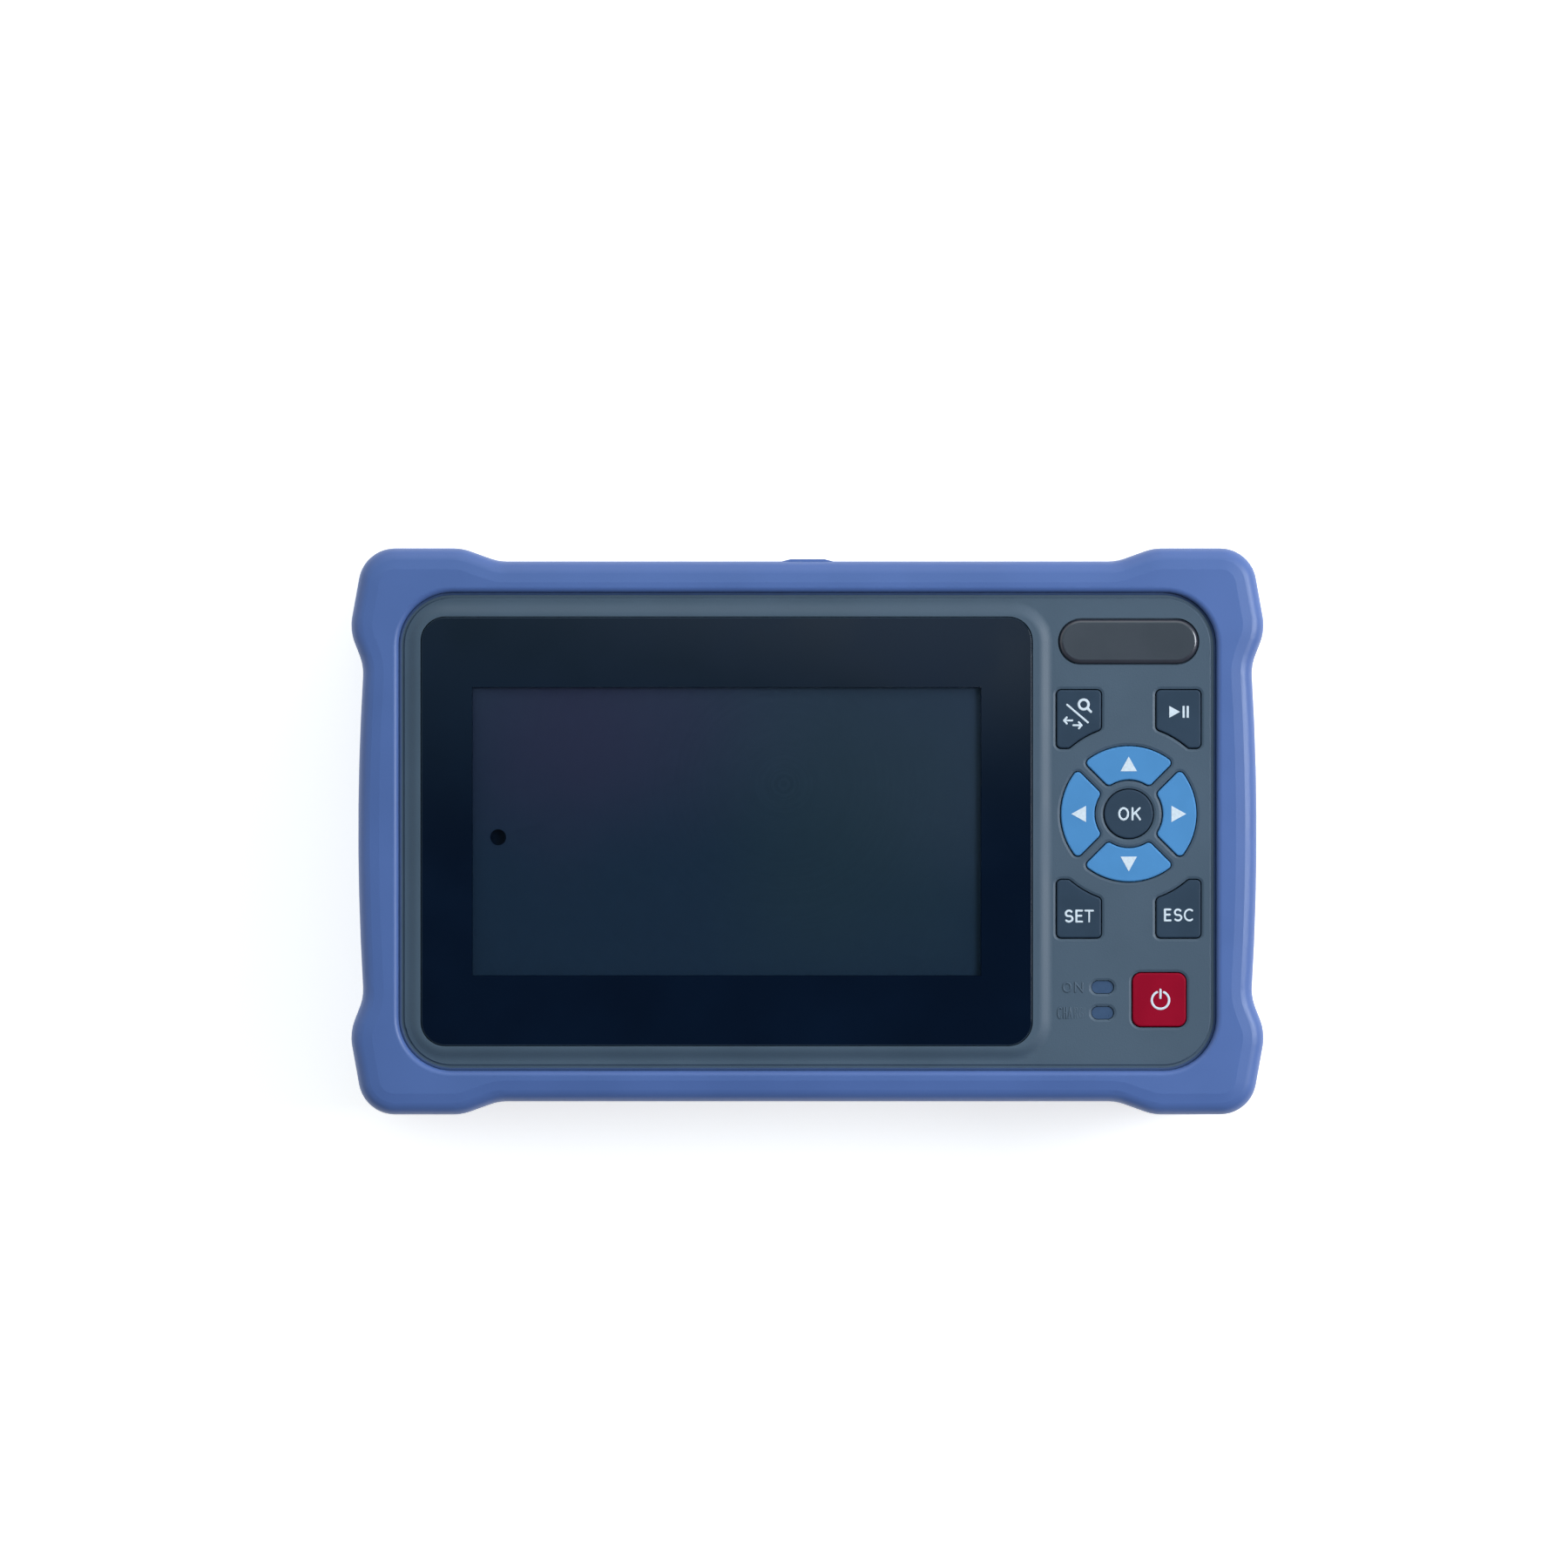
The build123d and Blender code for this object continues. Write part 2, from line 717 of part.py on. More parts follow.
def stand_tub():
    """The tray moulded into the back plate that the folded stand lies in."""
    half = stand_width / 2 + stand_gap + housing_wall
    low_y = stand_free_y - stand_gap - housing_wall
    high_y = stand_hinge_y + stand_barrel_radius + stand_gap + housing_wall
    tub = block(-half, half, low_y, high_y, back_z, tub_top_z)
    notch_low_y = stand_free_y - stand_gap - notch_width - housing_wall
    notch_half = notch_length / 2 + housing_wall
    return tub + block(-notch_half, notch_half, notch_low_y, stand_free_y, back_z, notch_top_z + housing_wall)


def stand_recess():
    half = stand_width / 2 + stand_gap
    low_y = stand_free_y - stand_gap
    high_y = stand_hinge_y + stand_barrel_radius + stand_gap
    recess = slab(
        2 * half, high_y - low_y, notch_corner, back_z - beyond, recess_top_z, 0, (low_y + high_y) / 2
    )
    notch = slab(
        notch_length, notch_width + 2 * stand_gap, notch_corner, back_z - beyond, notch_top_z, 0,
        stand_free_y - notch_width / 2,
    )
    pins = Part()
    for side in (-1, 1):
        inner = side * (half - beyond)
        outer = side * (half + stand_pin_length - stand_ear)
        pins += rod_x(stand_hinge_y, stand_z, stand_pin_radius, min(inner, outer), max(inner, outer))
    return recess + notch + pins


def battery_cradle():
    """Four corner walls that stand round the battery."""
    half_x = battery_width / 2 + slip_fit
    half_y = battery_length / 2 + slip_fit
    high = back_inner_z + cradle_height
    outer = block(
        battery_x - half_x - cradle_wall, battery_x + half_x + cradle_wall,
        -half_y - cradle_wall, half_y + cradle_wall, back_z, high,
    )
    inner = block(battery_x - half_x, battery_x + half_x, -half_y, half_y, back_inner_z, high + beyond)
    strap_half = strap_width / 2 + part_gap
    gap = block(
        battery_x - strap_half, battery_x + strap_half,
        -half_y - 2 * cradle_wall, half_y + 2 * cradle_wall, back_inner_z, high + beyond,
    )
    return outer - inner - gap


def strap_places():
    half = battery_length / 2 + slip_fit + strap_thick + strap_foot / 2
    return [(battery_x, -half), (battery_x, half)]


def module_places():
    half_x = module_length / 2 - module_hole_inset
    half_y = module_width / 2 - module_hole_inset
    return [(module_x + sx * half_x, module_y + sy * half_y) for sx in (-1, 1) for sy in (-1, 1)]


# Display, glass and badge


def make_glass():
    glass = slab(glass_length, glass_width, glass_corner, glass_low_z, glass_low_z + glass_thick, glass_x)
    return fillet(glass.edges().group_by(Axis.Z)[-1], glass_edge_round)


def make_lcd():
    length = lcd_length + 2 * lcd_frame_x
    width = lcd_width + 2 * lcd_frame_y
    return slab(length, width, lcd_frame_corner, lcd_low_z, face_under_z, glass_x)


def make_film():
    """The visible area of the display, laminated under the glass."""
    low = glass_low_z - film_thick
    film = block(
        glass_x - lcd_length / 2, glass_x + lcd_length / 2, -lcd_width / 2, lcd_width / 2, low, glass_low_z
    )
    dot_x = glass_x - lcd_length / 2 + film_dot_from_left
    return film - post(dot_x, -film_dot_below_middle, film_dot_radius, low - beyond, glass_low_z + beyond)


def make_lcd_pads():
    length = lcd_length
    return Compound(
        [
            block(
                glass_x - length / 2, glass_x + length / 2,
                y - pad_strip_width / 2, y + pad_strip_width / 2, main_top_z, lcd_low_z,
            )
            for y in (-pad_strip_spacing / 2, pad_strip_spacing / 2)
        ]
    )


def make_badge():
    low = face_z - badge_sink
    badge = Pos(0, 0, low) * extrude(badge_shape(), badge_thick)
    return fillet(badge.edges().group_by(Axis.Z)[-1], badge_dome)


# Keys and what is under them


def make_key(shape, plunger_x, plunger_y):
    cap = Pos(0, 0, flange_low_z) * extrude(shape, key_top - flange_low_z)
    cap = fillet(cap.edges().group_by(Axis.Z)[-1], key_round)
    flange = Pos(0, 0, flange_low_z) * extrude(offset(shape, key_gap + key_flange), key_flange_thick)
    plunger = post(plunger_x, plunger_y, plunger_radius, plunger_low_z, flange_low_z)
    return Pos(pad_x, pad_y) * (cap + flange + plunger)


def make_light_guide(y):
    stem_low = key_top_z + mat_thick
    stem = Pos(lamp_x, y, stem_low) * extrude(lamp_shape(slip_fit), face_z - opening_bevel - stem_low)
    flange = Pos(lamp_x, y, face_under_z - beyond) * extrude(lamp_shape(-key_flange), beyond - slip_fit)
    return stem + flange


def key_board_slab(low, high, shrink=0.0):
    length = key_board_length - 2 * shrink
    width = key_board_width - 2 * shrink
    return slab(length, width, board_corner, low, high, pad_x, key_board_y)


def make_keypad_mat():
    mat = key_board_slab(key_top_z, key_top_z + mat_thick, part_gap)
    mat -= posts(key_places, key_post_radius + part_gap, key_top_z - beyond, key_top_z + 2 * mat_thick)
    height = dome_top_z - key_top_z - mat_thick
    dome = Cone(dome_base_radius, dome_top_radius, height)
    dome_z = key_top_z + mat_thick + height / 2
    for _, x, y in key_shapes().values():
        mat += Pos(pad_x + x, pad_y + y, dome_z) * dome
    return mat


def make_key_board():
    board = key_board_slab(key_low_z, key_top_z)
    return board - posts(key_places, small_screw_radius + slip_fit, key_low_z - beyond, key_top_z + beyond)


def make_key_flex():
    start = glass_x + main_length / 2 - flex_lap
    end = pad_x - key_board_length / 2 + flex_lap
    return block(start, end, -flex_width / 2, flex_width / 2, main_top_z, key_low_z)


# Main board and battery


def make_main_board():
    board = slab(main_length, main_width, board_corner, main_low_z, main_top_z, glass_x)
    board -= posts(main_places, small_screw_radius + slip_fit, main_low_z - beyond, main_top_z + beyond)
    edge = glass_x - main_length / 2 + connector_inset
    half = connector_width / 2
    low = main_low_z - shield_height
    for step in (-1.5, -0.5, 0.5, 1.5):
        y = step * connector_pitch
        board += block(edge, edge + connector_length, y - half, y + half, low, main_low_z)
    return board


def make_board_shield():
    low = main_low_z - shield_height
    can = slab(shield_length, shield_width, shield_corner, low, main_low_z, glass_x)
    can = fillet(can.edges().group_by(Axis.Z)[0], shield_corner / 2)
    inner_length = shield_length - 2 * shield_sheet
    inner_width = shield_width - 2 * shield_sheet
    inner_corner = shield_corner - shield_sheet
    inner_low = low + shield_sheet
    return can - slab(inner_length, inner_width, inner_corner, inner_low, main_low_z + beyond, glass_x)


def make_battery():
    pack = slab(battery_width, battery_length, battery_corner, battery_low_z, battery_top_z, battery_x)
    pack = fillet(pack.edges().group_by(Axis.Z)[-1], battery_corner / 2)
    return pack


def make_battery_strap():
    """A sheet strap over the battery, with a foot at each end."""
    half = battery_length / 2 + slip_fit + strap_thick / 2
    top = battery_top_z + slip_fit + strap_thick / 2
    foot = strap_foot_z + strap_thick / 2
    end = half + strap_thick / 2 + strap_foot
    path = Polyline((-end, foot), (-half, foot), (-half, top), (half, top), (half, foot), (end, foot))
    section = Plane.YZ * trace(path, strap_thick)
    strap = Pos(battery_x, 0, 0) * extrude(section, strap_width / 2, both=True)
    hole_high_z = strap_foot_z + strap_thick + beyond
    return strap - posts(strap_places(), small_screw_radius + slip_fit, strap_foot_z - beyond, hole_high_z)


def make_strap_screws():
    one = screw(small_screw_radius, small_screw_length, small_head_radius, small_head_height)
    return Compound([Pos(x, y, strap_foot_z + strap_thick) * one for x, y in strap_places()])


# Optical module


def make_module():
    base_top = module_low_z + module_base
    base = slab(module_length, module_width, module_corner, module_low_z, base_top, module_x, module_y)
    base -= posts(module_places(), small_screw_radius + slip_fit, module_low_z - beyond, base_top + beyond)
    length = module_length - 2 * module_body_inset
    width = module_width - 2 * module_body_inset
    top = module_low_z + module_height
    body = slab(length, width, module_corner, base_top, top, module_x, module_y)
    body = fillet(body.edges().group_by(Axis.Z)[-1], module_edge_round)
    module = base + body
    start = module_y + module_width / 2 - module_body_inset
    for x in adapter_xs:
        module += rod_y(x, port_z, module_nozzle_radius, start - beyond, module_front_y + module_fibre_reach)
    return module


def make_module_screws():
    length = module_low_z + module_base - back_inner_z - part_gap
    one = screw(small_screw_radius, length, small_head_radius, small_head_height)
    return Compound([Pos(x, y, module_low_z + module_base) * one for x, y in module_places()])


def make_pigtails():
    low = module_front_y + module_fibre_reach
    return Compound([rod_y(x, port_z, fibre_radius, low, adapter_rear_y) for x in adapter_xs])


# Port bay


def knuckle(x, width):
    """One hinge knuckle at the foot of the bay, rounded about the pin."""
    radius = door_thick / 2
    barrel = rod_x(door_y, hinge_z, radius, x - width / 2, x + width / 2)
    neck = block(x - width / 2, x + width / 2, side_y - tray_wall, door_y, hinge_z - radius, hinge_z + radius)
    return barrel + neck


def make_tray():
    tray = upright_slab(tray_length, tray_height, tray_corner, tray_back_y, side_y, 0, tray_mid_z)
    rim_y = inner_y - slip_fit
    tray += upright_slab(
        tray_length + 2 * tray_rim, tray_height + 2 * tray_rim, tray_corner + tray_rim,
        rim_y - tray_wall, rim_y, 0, tray_mid_z,
    )
    tray -= upright_slab(
        tray_length - 2 * tray_wall, tray_height - 2 * tray_wall, tray_corner - tray_wall / 2,
        tray_floor_y, side_y + beyond, 0, tray_mid_z,
    )
    for side in (-1, 1):
        tray += knuckle(side * knuckle_at, knuckle_width)
    tray -= rod_x(door_y, hinge_z, door_pin_radius, -door_half, door_half)
    for x in adapter_xs:
        tray -= rod_y(x, port_z, adapter_rear_radius + slip_fit, tray_back_y - beyond, tray_floor_y + beyond)
        for side in (-1, 1):
            hole_x = x + side * adapter_hole_offset
            hole_z = port_z + side * adapter_hole_offset
            tray -= rod_y(hole_x, hole_z, small_screw_radius, tray_back_y - beyond, tray_floor_y + beyond)
    window = extrude(SlotOverall(usb_length + 2 * slip_fit, usb_width + 2 * slip_fit), tray_wall + 2 * beyond)
    tray -= Pos(usb_x, tray_floor_y + beyond, port_z) * Rot(90, 0, 0) * window
    tray -= rod_y(dc_x, port_z, dc_nose_radius + slip_fit, tray_back_y - beyond, tray_floor_y + beyond)
    return tray


def adapter(x, barrel_radius, barrel_length, cavity_radius, round_flange):
    """A fibre adapter in the bay wall: flange, barrel with a socket, ferrule sleeve and rear stub."""
    flange_y = tray_floor_y + adapter_flange_thick
    nose_y = flange_y + barrel_length
    half = adapter_flange / 2
    if round_flange:
        flange = rod_y(x, port_z, half, tray_floor_y, flange_y)
        for side in (-1, 1):
            ear_x = x + side * adapter_hole_offset
            ear_z = port_z + side * adapter_hole_offset
            flange += rod_y(ear_x, ear_z, small_head_radius, tray_floor_y, flange_y)
    else:
        side = adapter_flange
        flange = upright_slab(side, side, adapter_corner, tray_floor_y, flange_y, x, port_z)
    barrel = rod_y(x, port_z, barrel_radius, flange_y, nose_y)
    barrel = chamfer(barrel.edges().group_by(Axis.Y)[-1], adapter_nose_chamfer)
    body = flange + barrel
    if cavity_radius > 0:
        body -= rod_y(x, port_z, cavity_radius, flange_y, nose_y + beyond)
        body += rod_y(x, port_z, sleeve_radius, flange_y, nose_y - socket_recess)
        slot_low_y = flange_y + 2 * socket_recess
        slot_low_z = port_z + cavity_radius / 2
        slot = adapter_slot_half
        body -= block(x - slot, x + slot, slot_low_y, nose_y + beyond, slot_low_z, port_z + half)
    body += rod_y(x, port_z, adapter_rear_radius, adapter_rear_y, tray_floor_y)
    body -= rod_y(x, port_z, ferrule_radius, tray_floor_y, nose_y + beyond)
    for side in (-1, 1):
        hole_x = x + side * adapter_hole_offset
        hole_z = port_z + side * adapter_hole_offset
        body -= rod_y(hole_x, hole_z, small_screw_radius + slip_fit, tray_floor_y - beyond, flange_y + beyond)
    return body


def make_adapter_screws():
    length = adapter_flange_thick + tray_wall
    one = Rot(-90, 0, 0) * screw(small_screw_radius, length, adapter_head_radius, small_head_height)
    seat_y = tray_floor_y + adapter_flange_thick
    offsets = (-adapter_hole_offset, adapter_hole_offset)
    return Compound([Pos(x + off, seat_y, port_z + off) * one for x in adapter_xs for off in offsets])


def make_usb_socket():
    front = tray_floor_y + socket_reach
    outer = SlotOverall(usb_length, usb_width)
    inner = SlotOverall(usb_length - 2 * usb_shell, usb_width - 2 * usb_shell)
    shell = extrude(outer, front - socket_board_y) - Pos(0, 0, -beyond) * extrude(inner, usb_depth + beyond)
    tongue = extrude(Rectangle(usb_tongue_length, usb_tongue_thick), usb_depth - socket_recess)
    tongue = Pos(0, 0, socket_recess) * tongue
    return Pos(usb_x, front, port_z) * Rot(90, 0, 0) * (shell + tongue)


def make_dc_jack():
    front = tray_floor_y + socket_reach
    back = front - dc_depth - tray_wall
    half = dc_body / 2
    body = block(dc_x - half, dc_x + half, back, tray_back_y - slip_fit, port_z - half, port_z + half)
    body += rod_y(dc_x, port_z, dc_nose_radius, tray_back_y - beyond, front)
    body -= rod_y(dc_x, port_z, dc_bore_radius, front - dc_depth, front + beyond)
    pin = rod_y(dc_x, port_z, dc_pin_radius, front - dc_depth - beyond, front - socket_recess)
    return body + fillet(pin.edges().group_by(Axis.Y)[-1], dc_pin_radius / 2)


def make_port_board():
    """The small board that stands behind the bay and carries both electrical sockets."""
    low_x = usb_x - usb_length
    high_x = dc_x + dc_body / 2 + port_board_margin
    half_z = tray_height / 2 - tray_wall
    board_low_y = socket_board_y - board_thick
    board = block(low_x, high_x, board_low_y, socket_board_y, tray_mid_z - half_z, tray_mid_z + half_z)
    half = dc_body / 2 + slip_fit
    return board - block(
        dc_x - half, high_x + beyond, socket_board_y - board_thick - beyond, socket_board_y + beyond,
        port_z - half, tray_mid_z + half_z + beyond,
    )


def make_door():
    door_low_z = hinge_z - door_thick / 2
    height = door_top_z - door_low_z
    plate = upright_slab(
        2 * door_half, height, door_corner, door_inner_y, waist_y, 0, door_low_z + height / 2
    )
    past_end = door_half + beyond
    plate -= block(-past_end, past_end, door_inner_y - beyond, waist_y + beyond, 0, hinge_z)
    plate += block(-door_half, door_half, door_inner_y, waist_y, hinge_z, hinge_z + door_corner)
    plate += rod_x(door_y, hinge_z, door_thick / 2, -door_half, door_half)
    seal_half = tray_length / 2 - tray_wall / 2
    seal_low = hinge_z + door_thick
    seal_high = tray_top_z - tray_wall / 2
    seal_mid = (seal_low + seal_high) / 2
    seal = upright_slab(
        2 * seal_half, seal_high - seal_low, door_seal_corner,
        door_inner_y - door_seal_height, door_inner_y, 0, seal_mid,
    )
    seal -= upright_slab(
        2 * (seal_half - door_seal_width), seal_high - seal_low - 2 * door_seal_width, door_seal_corner / 2,
        door_inner_y - 2 * door_seal_height, door_inner_y + beyond, 0, seal_mid,
    )
    door = plate + seal + tab(tray_mid_z, door_top_z - part_gap, door_thick / 2)
    for side in (-1, 1):
        half = knuckle_width / 2 + part_gap
        x = side * knuckle_at
        reach = hinge_z + door_thick / 2 + part_gap
        door -= block(x - half, x + half, door_inner_y - beyond, waist_y + beyond, door_low_z - beyond, reach)
    return door - rod_x(door_y, hinge_z, door_pin_radius + turning_fit, -door_half, door_half)


def make_door_pin():
    reach = door_half - door_corner - beyond
    return rod_x(door_y, hinge_z, door_pin_radius, -reach, reach)


# Stand


def make_stand():
    low = back_z + stand_sink
    high = low + stand_thick
    length = stand_length
    middle = stand_hinge_y - length / 2
    plate = slab(stand_width, length + 2 * stand_corner, stand_corner, low, high, 0, middle + stand_corner)
    plate -= block(-stand_width, stand_width, stand_hinge_y, stand_hinge_y + 3 * stand_corner, 0, split_z)
    window_low_z = low - beyond
    window_high_z = high + beyond
    window_y = middle + stand_window_shift
    plate -= slab(stand_window_x, stand_window_y, stand_corner, window_low_z, window_high_z, 0, window_y)
    barrel = rod_x(stand_hinge_y, stand_z, stand_barrel_radius, -stand_width / 2, stand_width / 2)
    ribs = Part()
    for side in (-1, 1):
        x = side * (stand_width / 2 - stand_corner)
        half = stand_rib_width / 2
        rib_low_y = stand_free_y + 2 * stand_corner
        ribs += block(x - half, x + half, rib_low_y, stand_hinge_y, high, high + stand_rib_height)
    stand = plate + barrel + ribs
    for side in (-1, 1):
        inner = side * (stand_width / 2 - stand_ear)
        outer = side * (stand_width / 2 + beyond)
        stand -= rod_x(
            stand_hinge_y, stand_z, stand_pin_radius + turning_fit, min(inner, outer), max(inner, outer)
        )
    return stand


def make_stand_pins():
    pins = []
    for side in (-1, 1):
        inner = side * (stand_width / 2 - stand_ear + part_gap)
        outer = side * (stand_width / 2 + stand_gap + stand_pin_length - stand_ear - part_gap)
        pins.append(rod_x(stand_hinge_y, stand_z, stand_pin_radius, min(inner, outer), max(inner, outer)))
    return Compound(pins)


# Speaker and housing fasteners


def make_speaker():
    low = back_inner_z
    basket = post(speaker_x, speaker_y, speaker_radius, low, low + speaker_height / 2)
    magnet = post(speaker_x, speaker_y, speaker_magnet_radius, low, low + speaker_height)
    cone = Cone(speaker_cone_radius, speaker_dust_radius, speaker_cone_depth)
    cone = Pos(speaker_x, speaker_y, low + speaker_cone_depth / 2) * cone
    return basket + magnet - cone


def make_housing_screws():
    length = split_z + insert_length - screw_seat_z()
    return screws_from_below(
        boss_places, screw_seat_z(), screw_radius, length, screw_head_radius, screw_head_height
    )


def make_housing_inserts():
    inserts = []
    for x, y in boss_places:
        insert = post(x, y, insert_radius, split_z + part_gap, split_z + insert_length)
        inserts.append(insert - post(x, y, screw_radius, split_z, split_z + insert_length + beyond))
    return Compound(inserts)


def make_board_screws(places, seat_z):
    return screws_from_below(
        places, seat_z, small_screw_radius, small_screw_length, small_head_radius, small_head_height
    )


def make_all():
    nodes = {
        "protective_boot": make_boot(),
        "front_housing": make_front_housing(),
        "rear_housing": make_rear_housing(),
        "touch_glass": make_glass(),
        "lcd_module": make_lcd(),
        "display_film": make_film(),
        "lcd_pads": make_lcd_pads(),
        "badge_plate": make_badge(),
        "light_guide_on": make_light_guide(lamp_ys[0]),
        "light_guide_charge": make_light_guide(lamp_ys[1]),
        "keypad_mat": make_keypad_mat(),
        "key_board": make_key_board(),
        "key_board_screws": make_board_screws(key_places, key_low_z),
        "key_flex": make_key_flex(),
        "main_board": make_main_board(),
        "board_shield": make_board_shield(),
        "main_board_screws": make_board_screws(main_places, main_low_z),
        "battery_pack": make_battery(),
        "battery_strap": make_battery_strap(),
        "strap_screws": make_strap_screws(),
        "optical_module": make_module(),
        "module_screws": make_module_screws(),
        "fibre_pigtails": make_pigtails(),
        "port_tray": make_tray(),
        "otdr_adapter": adapter(
            adapter_xs[0], otdr_barrel_radius, otdr_barrel_length, otdr_socket_radius, False
        ),
        "power_meter_adapter": adapter(
            adapter_xs[1], meter_barrel_radius, meter_barrel_length, 0.0, True
        ),
        "fault_locator_adapter": adapter(
            adapter_xs[2], locator_barrel_radius, locator_barrel_length, 0.0, False
        ),
        "adapter_screws": make_adapter_screws(),
        "usb_socket": make_usb_socket(),
        "dc_jack": make_dc_jack(),
        "port_board": make_port_board(),
        "port_door": make_door(),
        "door_pin": make_door_pin(),
        "kick_stand": make_stand(),
        "stand_pins": make_stand_pins(),
        "speaker": make_speaker(),
        "housing_screws": make_housing_screws(),
        "housing_inserts": make_housing_inserts(),
    }
    for name, (shape, x, y) in key_shapes().items():
        nodes[name] = make_key(shape, x, y)
    return nodes


os.makedirs("parts", exist_ok=True)
for node, solid in make_all().items():
    export_step(solid, f"parts/{node}.step")
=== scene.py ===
# Handheld optical time domain reflectometer, lying on its back and seen from straight above.
import json
import math
import bmesh
import bpy
from mathutils import Matrix, Vector


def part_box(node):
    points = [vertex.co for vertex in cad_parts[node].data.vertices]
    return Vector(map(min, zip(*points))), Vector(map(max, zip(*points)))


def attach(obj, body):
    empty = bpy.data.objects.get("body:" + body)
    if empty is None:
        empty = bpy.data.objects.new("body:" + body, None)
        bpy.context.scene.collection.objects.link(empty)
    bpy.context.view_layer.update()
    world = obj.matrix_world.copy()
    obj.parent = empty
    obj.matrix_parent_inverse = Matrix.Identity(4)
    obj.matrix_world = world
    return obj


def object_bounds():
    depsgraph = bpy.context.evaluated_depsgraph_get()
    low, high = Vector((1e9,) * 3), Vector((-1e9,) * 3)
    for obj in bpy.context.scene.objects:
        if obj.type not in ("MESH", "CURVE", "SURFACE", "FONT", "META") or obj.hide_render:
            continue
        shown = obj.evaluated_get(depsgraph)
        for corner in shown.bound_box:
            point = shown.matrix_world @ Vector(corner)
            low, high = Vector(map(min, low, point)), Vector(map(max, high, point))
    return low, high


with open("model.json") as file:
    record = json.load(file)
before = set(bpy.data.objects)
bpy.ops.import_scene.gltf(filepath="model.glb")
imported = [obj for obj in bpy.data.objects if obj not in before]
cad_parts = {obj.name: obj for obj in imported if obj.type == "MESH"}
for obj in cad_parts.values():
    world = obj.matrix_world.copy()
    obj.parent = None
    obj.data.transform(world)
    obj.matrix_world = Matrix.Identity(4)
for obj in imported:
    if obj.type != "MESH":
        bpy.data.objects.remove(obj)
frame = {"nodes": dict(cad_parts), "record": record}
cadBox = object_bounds()
nodes = frame["nodes"]
mm = 0.001
print("frame loaded:", len(nodes), "nodes")


# Shader maths

def linear(red, green, blue):
    # a screen colour, 0 to 255, as the values that a shader takes
    return tuple((c / 255 / 12.92) if c < 10.3 else ((c / 255 + 0.055) / 1.055) ** 2.4 for c in (red, green, blue))


def opaque(colour, share=1.0):
    return (colour[0] * share, colour[1] * share, colour[2] * share, 1.0)


class Wire:
    # one output of a node; sums and products of wires add Math nodes
    def __init__(self, look, socket):
        self.look = look
        self.socket = socket

    def maths(self, operation, first, second):
        return self.look.add("ShaderNodeMath", {"operation": operation}, {0: first, 1: second})

    def __add__(self, other):
        return self.maths("ADD", self, other)

    def __sub__(self, other):
        return self.maths("SUBTRACT", self, other)

    def __rsub__(self, other):
        return self.maths("SUBTRACT", other, self)

    def __mul__(self, other):
        return self.maths("MULTIPLY", self, other)

    def __rmul__(self, other):
        return self.maths("MULTIPLY", other, self)

    def __abs__(self):
        return self.maths("ABSOLUTE", self, 0)

    def atLeast(self, other):
        return self.maths("MAXIMUM", self, other)

    def root(self):
        return self.maths("SQRT", self, 0)


class Nodes:
    # a node tree, and the ways to add to it
    def __init__(self, tree):
        self.tree = tree

    def add(self, kind, settings=None, values=None, out=0):
        node = self.tree.nodes.new(kind)
        for name, value in (settings or {}).items():
            setattr(node, name, value)
        for name, value in (values or {}).items():
            self.feed(node.inputs[name], value)
        return Wire(self, node.outputs[out])

    def feed(self, socket, value):
        if isinstance(value, Wire):
            self.tree.links.new(value.socket, socket)
        else:
            socket.default_value = value

    def place(self, kind="Object"):
        return self.add("ShaderNodeTexCoord", out=kind)

    def axes(self, kind="Object"):
        split = self.add("ShaderNodeSeparateXYZ", values={"Vector": self.place(kind)})
        outputs = split.socket.node.outputs
        return [Wire(self, outputs[i]) for i in range(3)]

    def ray(self, kind):
        # 1 where the surface is met by a ray of this kind
        return self.add("ShaderNodeLightPath", out="Is " + kind + " Ray")

    def noise(self, size, detail=2.0, roughness=0.5):
        # soft random patches of about the given size
        values = {"Vector": self.place(), "Scale": 1 / size, "Detail": detail, "Roughness": roughness}
        return self.add("ShaderNodeTexNoise", {}, values)

    def ramp(self, wire, low, high, start=0.0, end=1.0):
        # smooth step from start to end while the wire goes from low to high
        settings = {"interpolation_type": "SMOOTHSTEP"}
        return self.add("ShaderNodeMapRange", settings, {0: wire, 1: low, 2: high, 3: start, 4: end})

    def blend(self, share, first, second):
        settings = {"data_type": "RGBA"}
        return self.add("ShaderNodeMix", settings, {0: share, 6: first, 7: second}, out=2)

    def bump(self, height, depth):
        return self.add("ShaderNodeBump", {}, {"Strength": 1.0, "Distance": depth, "Height": height})


class Look(Nodes):
    # a material, with its Principled shader
    def __init__(self, name):
        self.material = bpy.data.materials.new(name)
        self.material.use_nodes = True
        super().__init__(self.material.node_tree)
        self.shader = self.tree.nodes["Principled BSDF"]

    def set(self, **values):
        # a shader's socket by its name, with underscores for the spaces
        for name, value in values.items():
            self.feed(self.shader.inputs[name.replace("_", " ")], value)
        return self


def moulded(name, finish):
    # plastic, rubber or resin: faint patches of colour, a fine grain and a roughness that wanders with them
    look = Look(name)
    colour = linear(*finish["colour"])
    spread = finish.get("spread", 0.05)
    patches = look.noise(finish.get("patchSize", 14 * mm), 3.0)
    share = look.ramp(patches, 0.3, 0.7)
    look.set(Base_Color=look.blend(share, opaque(colour, 1 - spread), opaque(colour, 1 + spread)))
    grain = look.noise(finish["grainSize"], 2.0, 0.6)
    look.set(Normal=look.bump(grain, finish["grainDepth"]))
    look.set(Roughness=look.ramp(patches, 0.25, 0.75, finish["rough"] - 0.03, finish["rough"] + 0.04))
    look.set(Specular_IOR_Level=finish.get("shine", 0.5), Coat_Weight=finish.get("coat", 0.0))
    return look.set(Coat_Roughness=0.08)


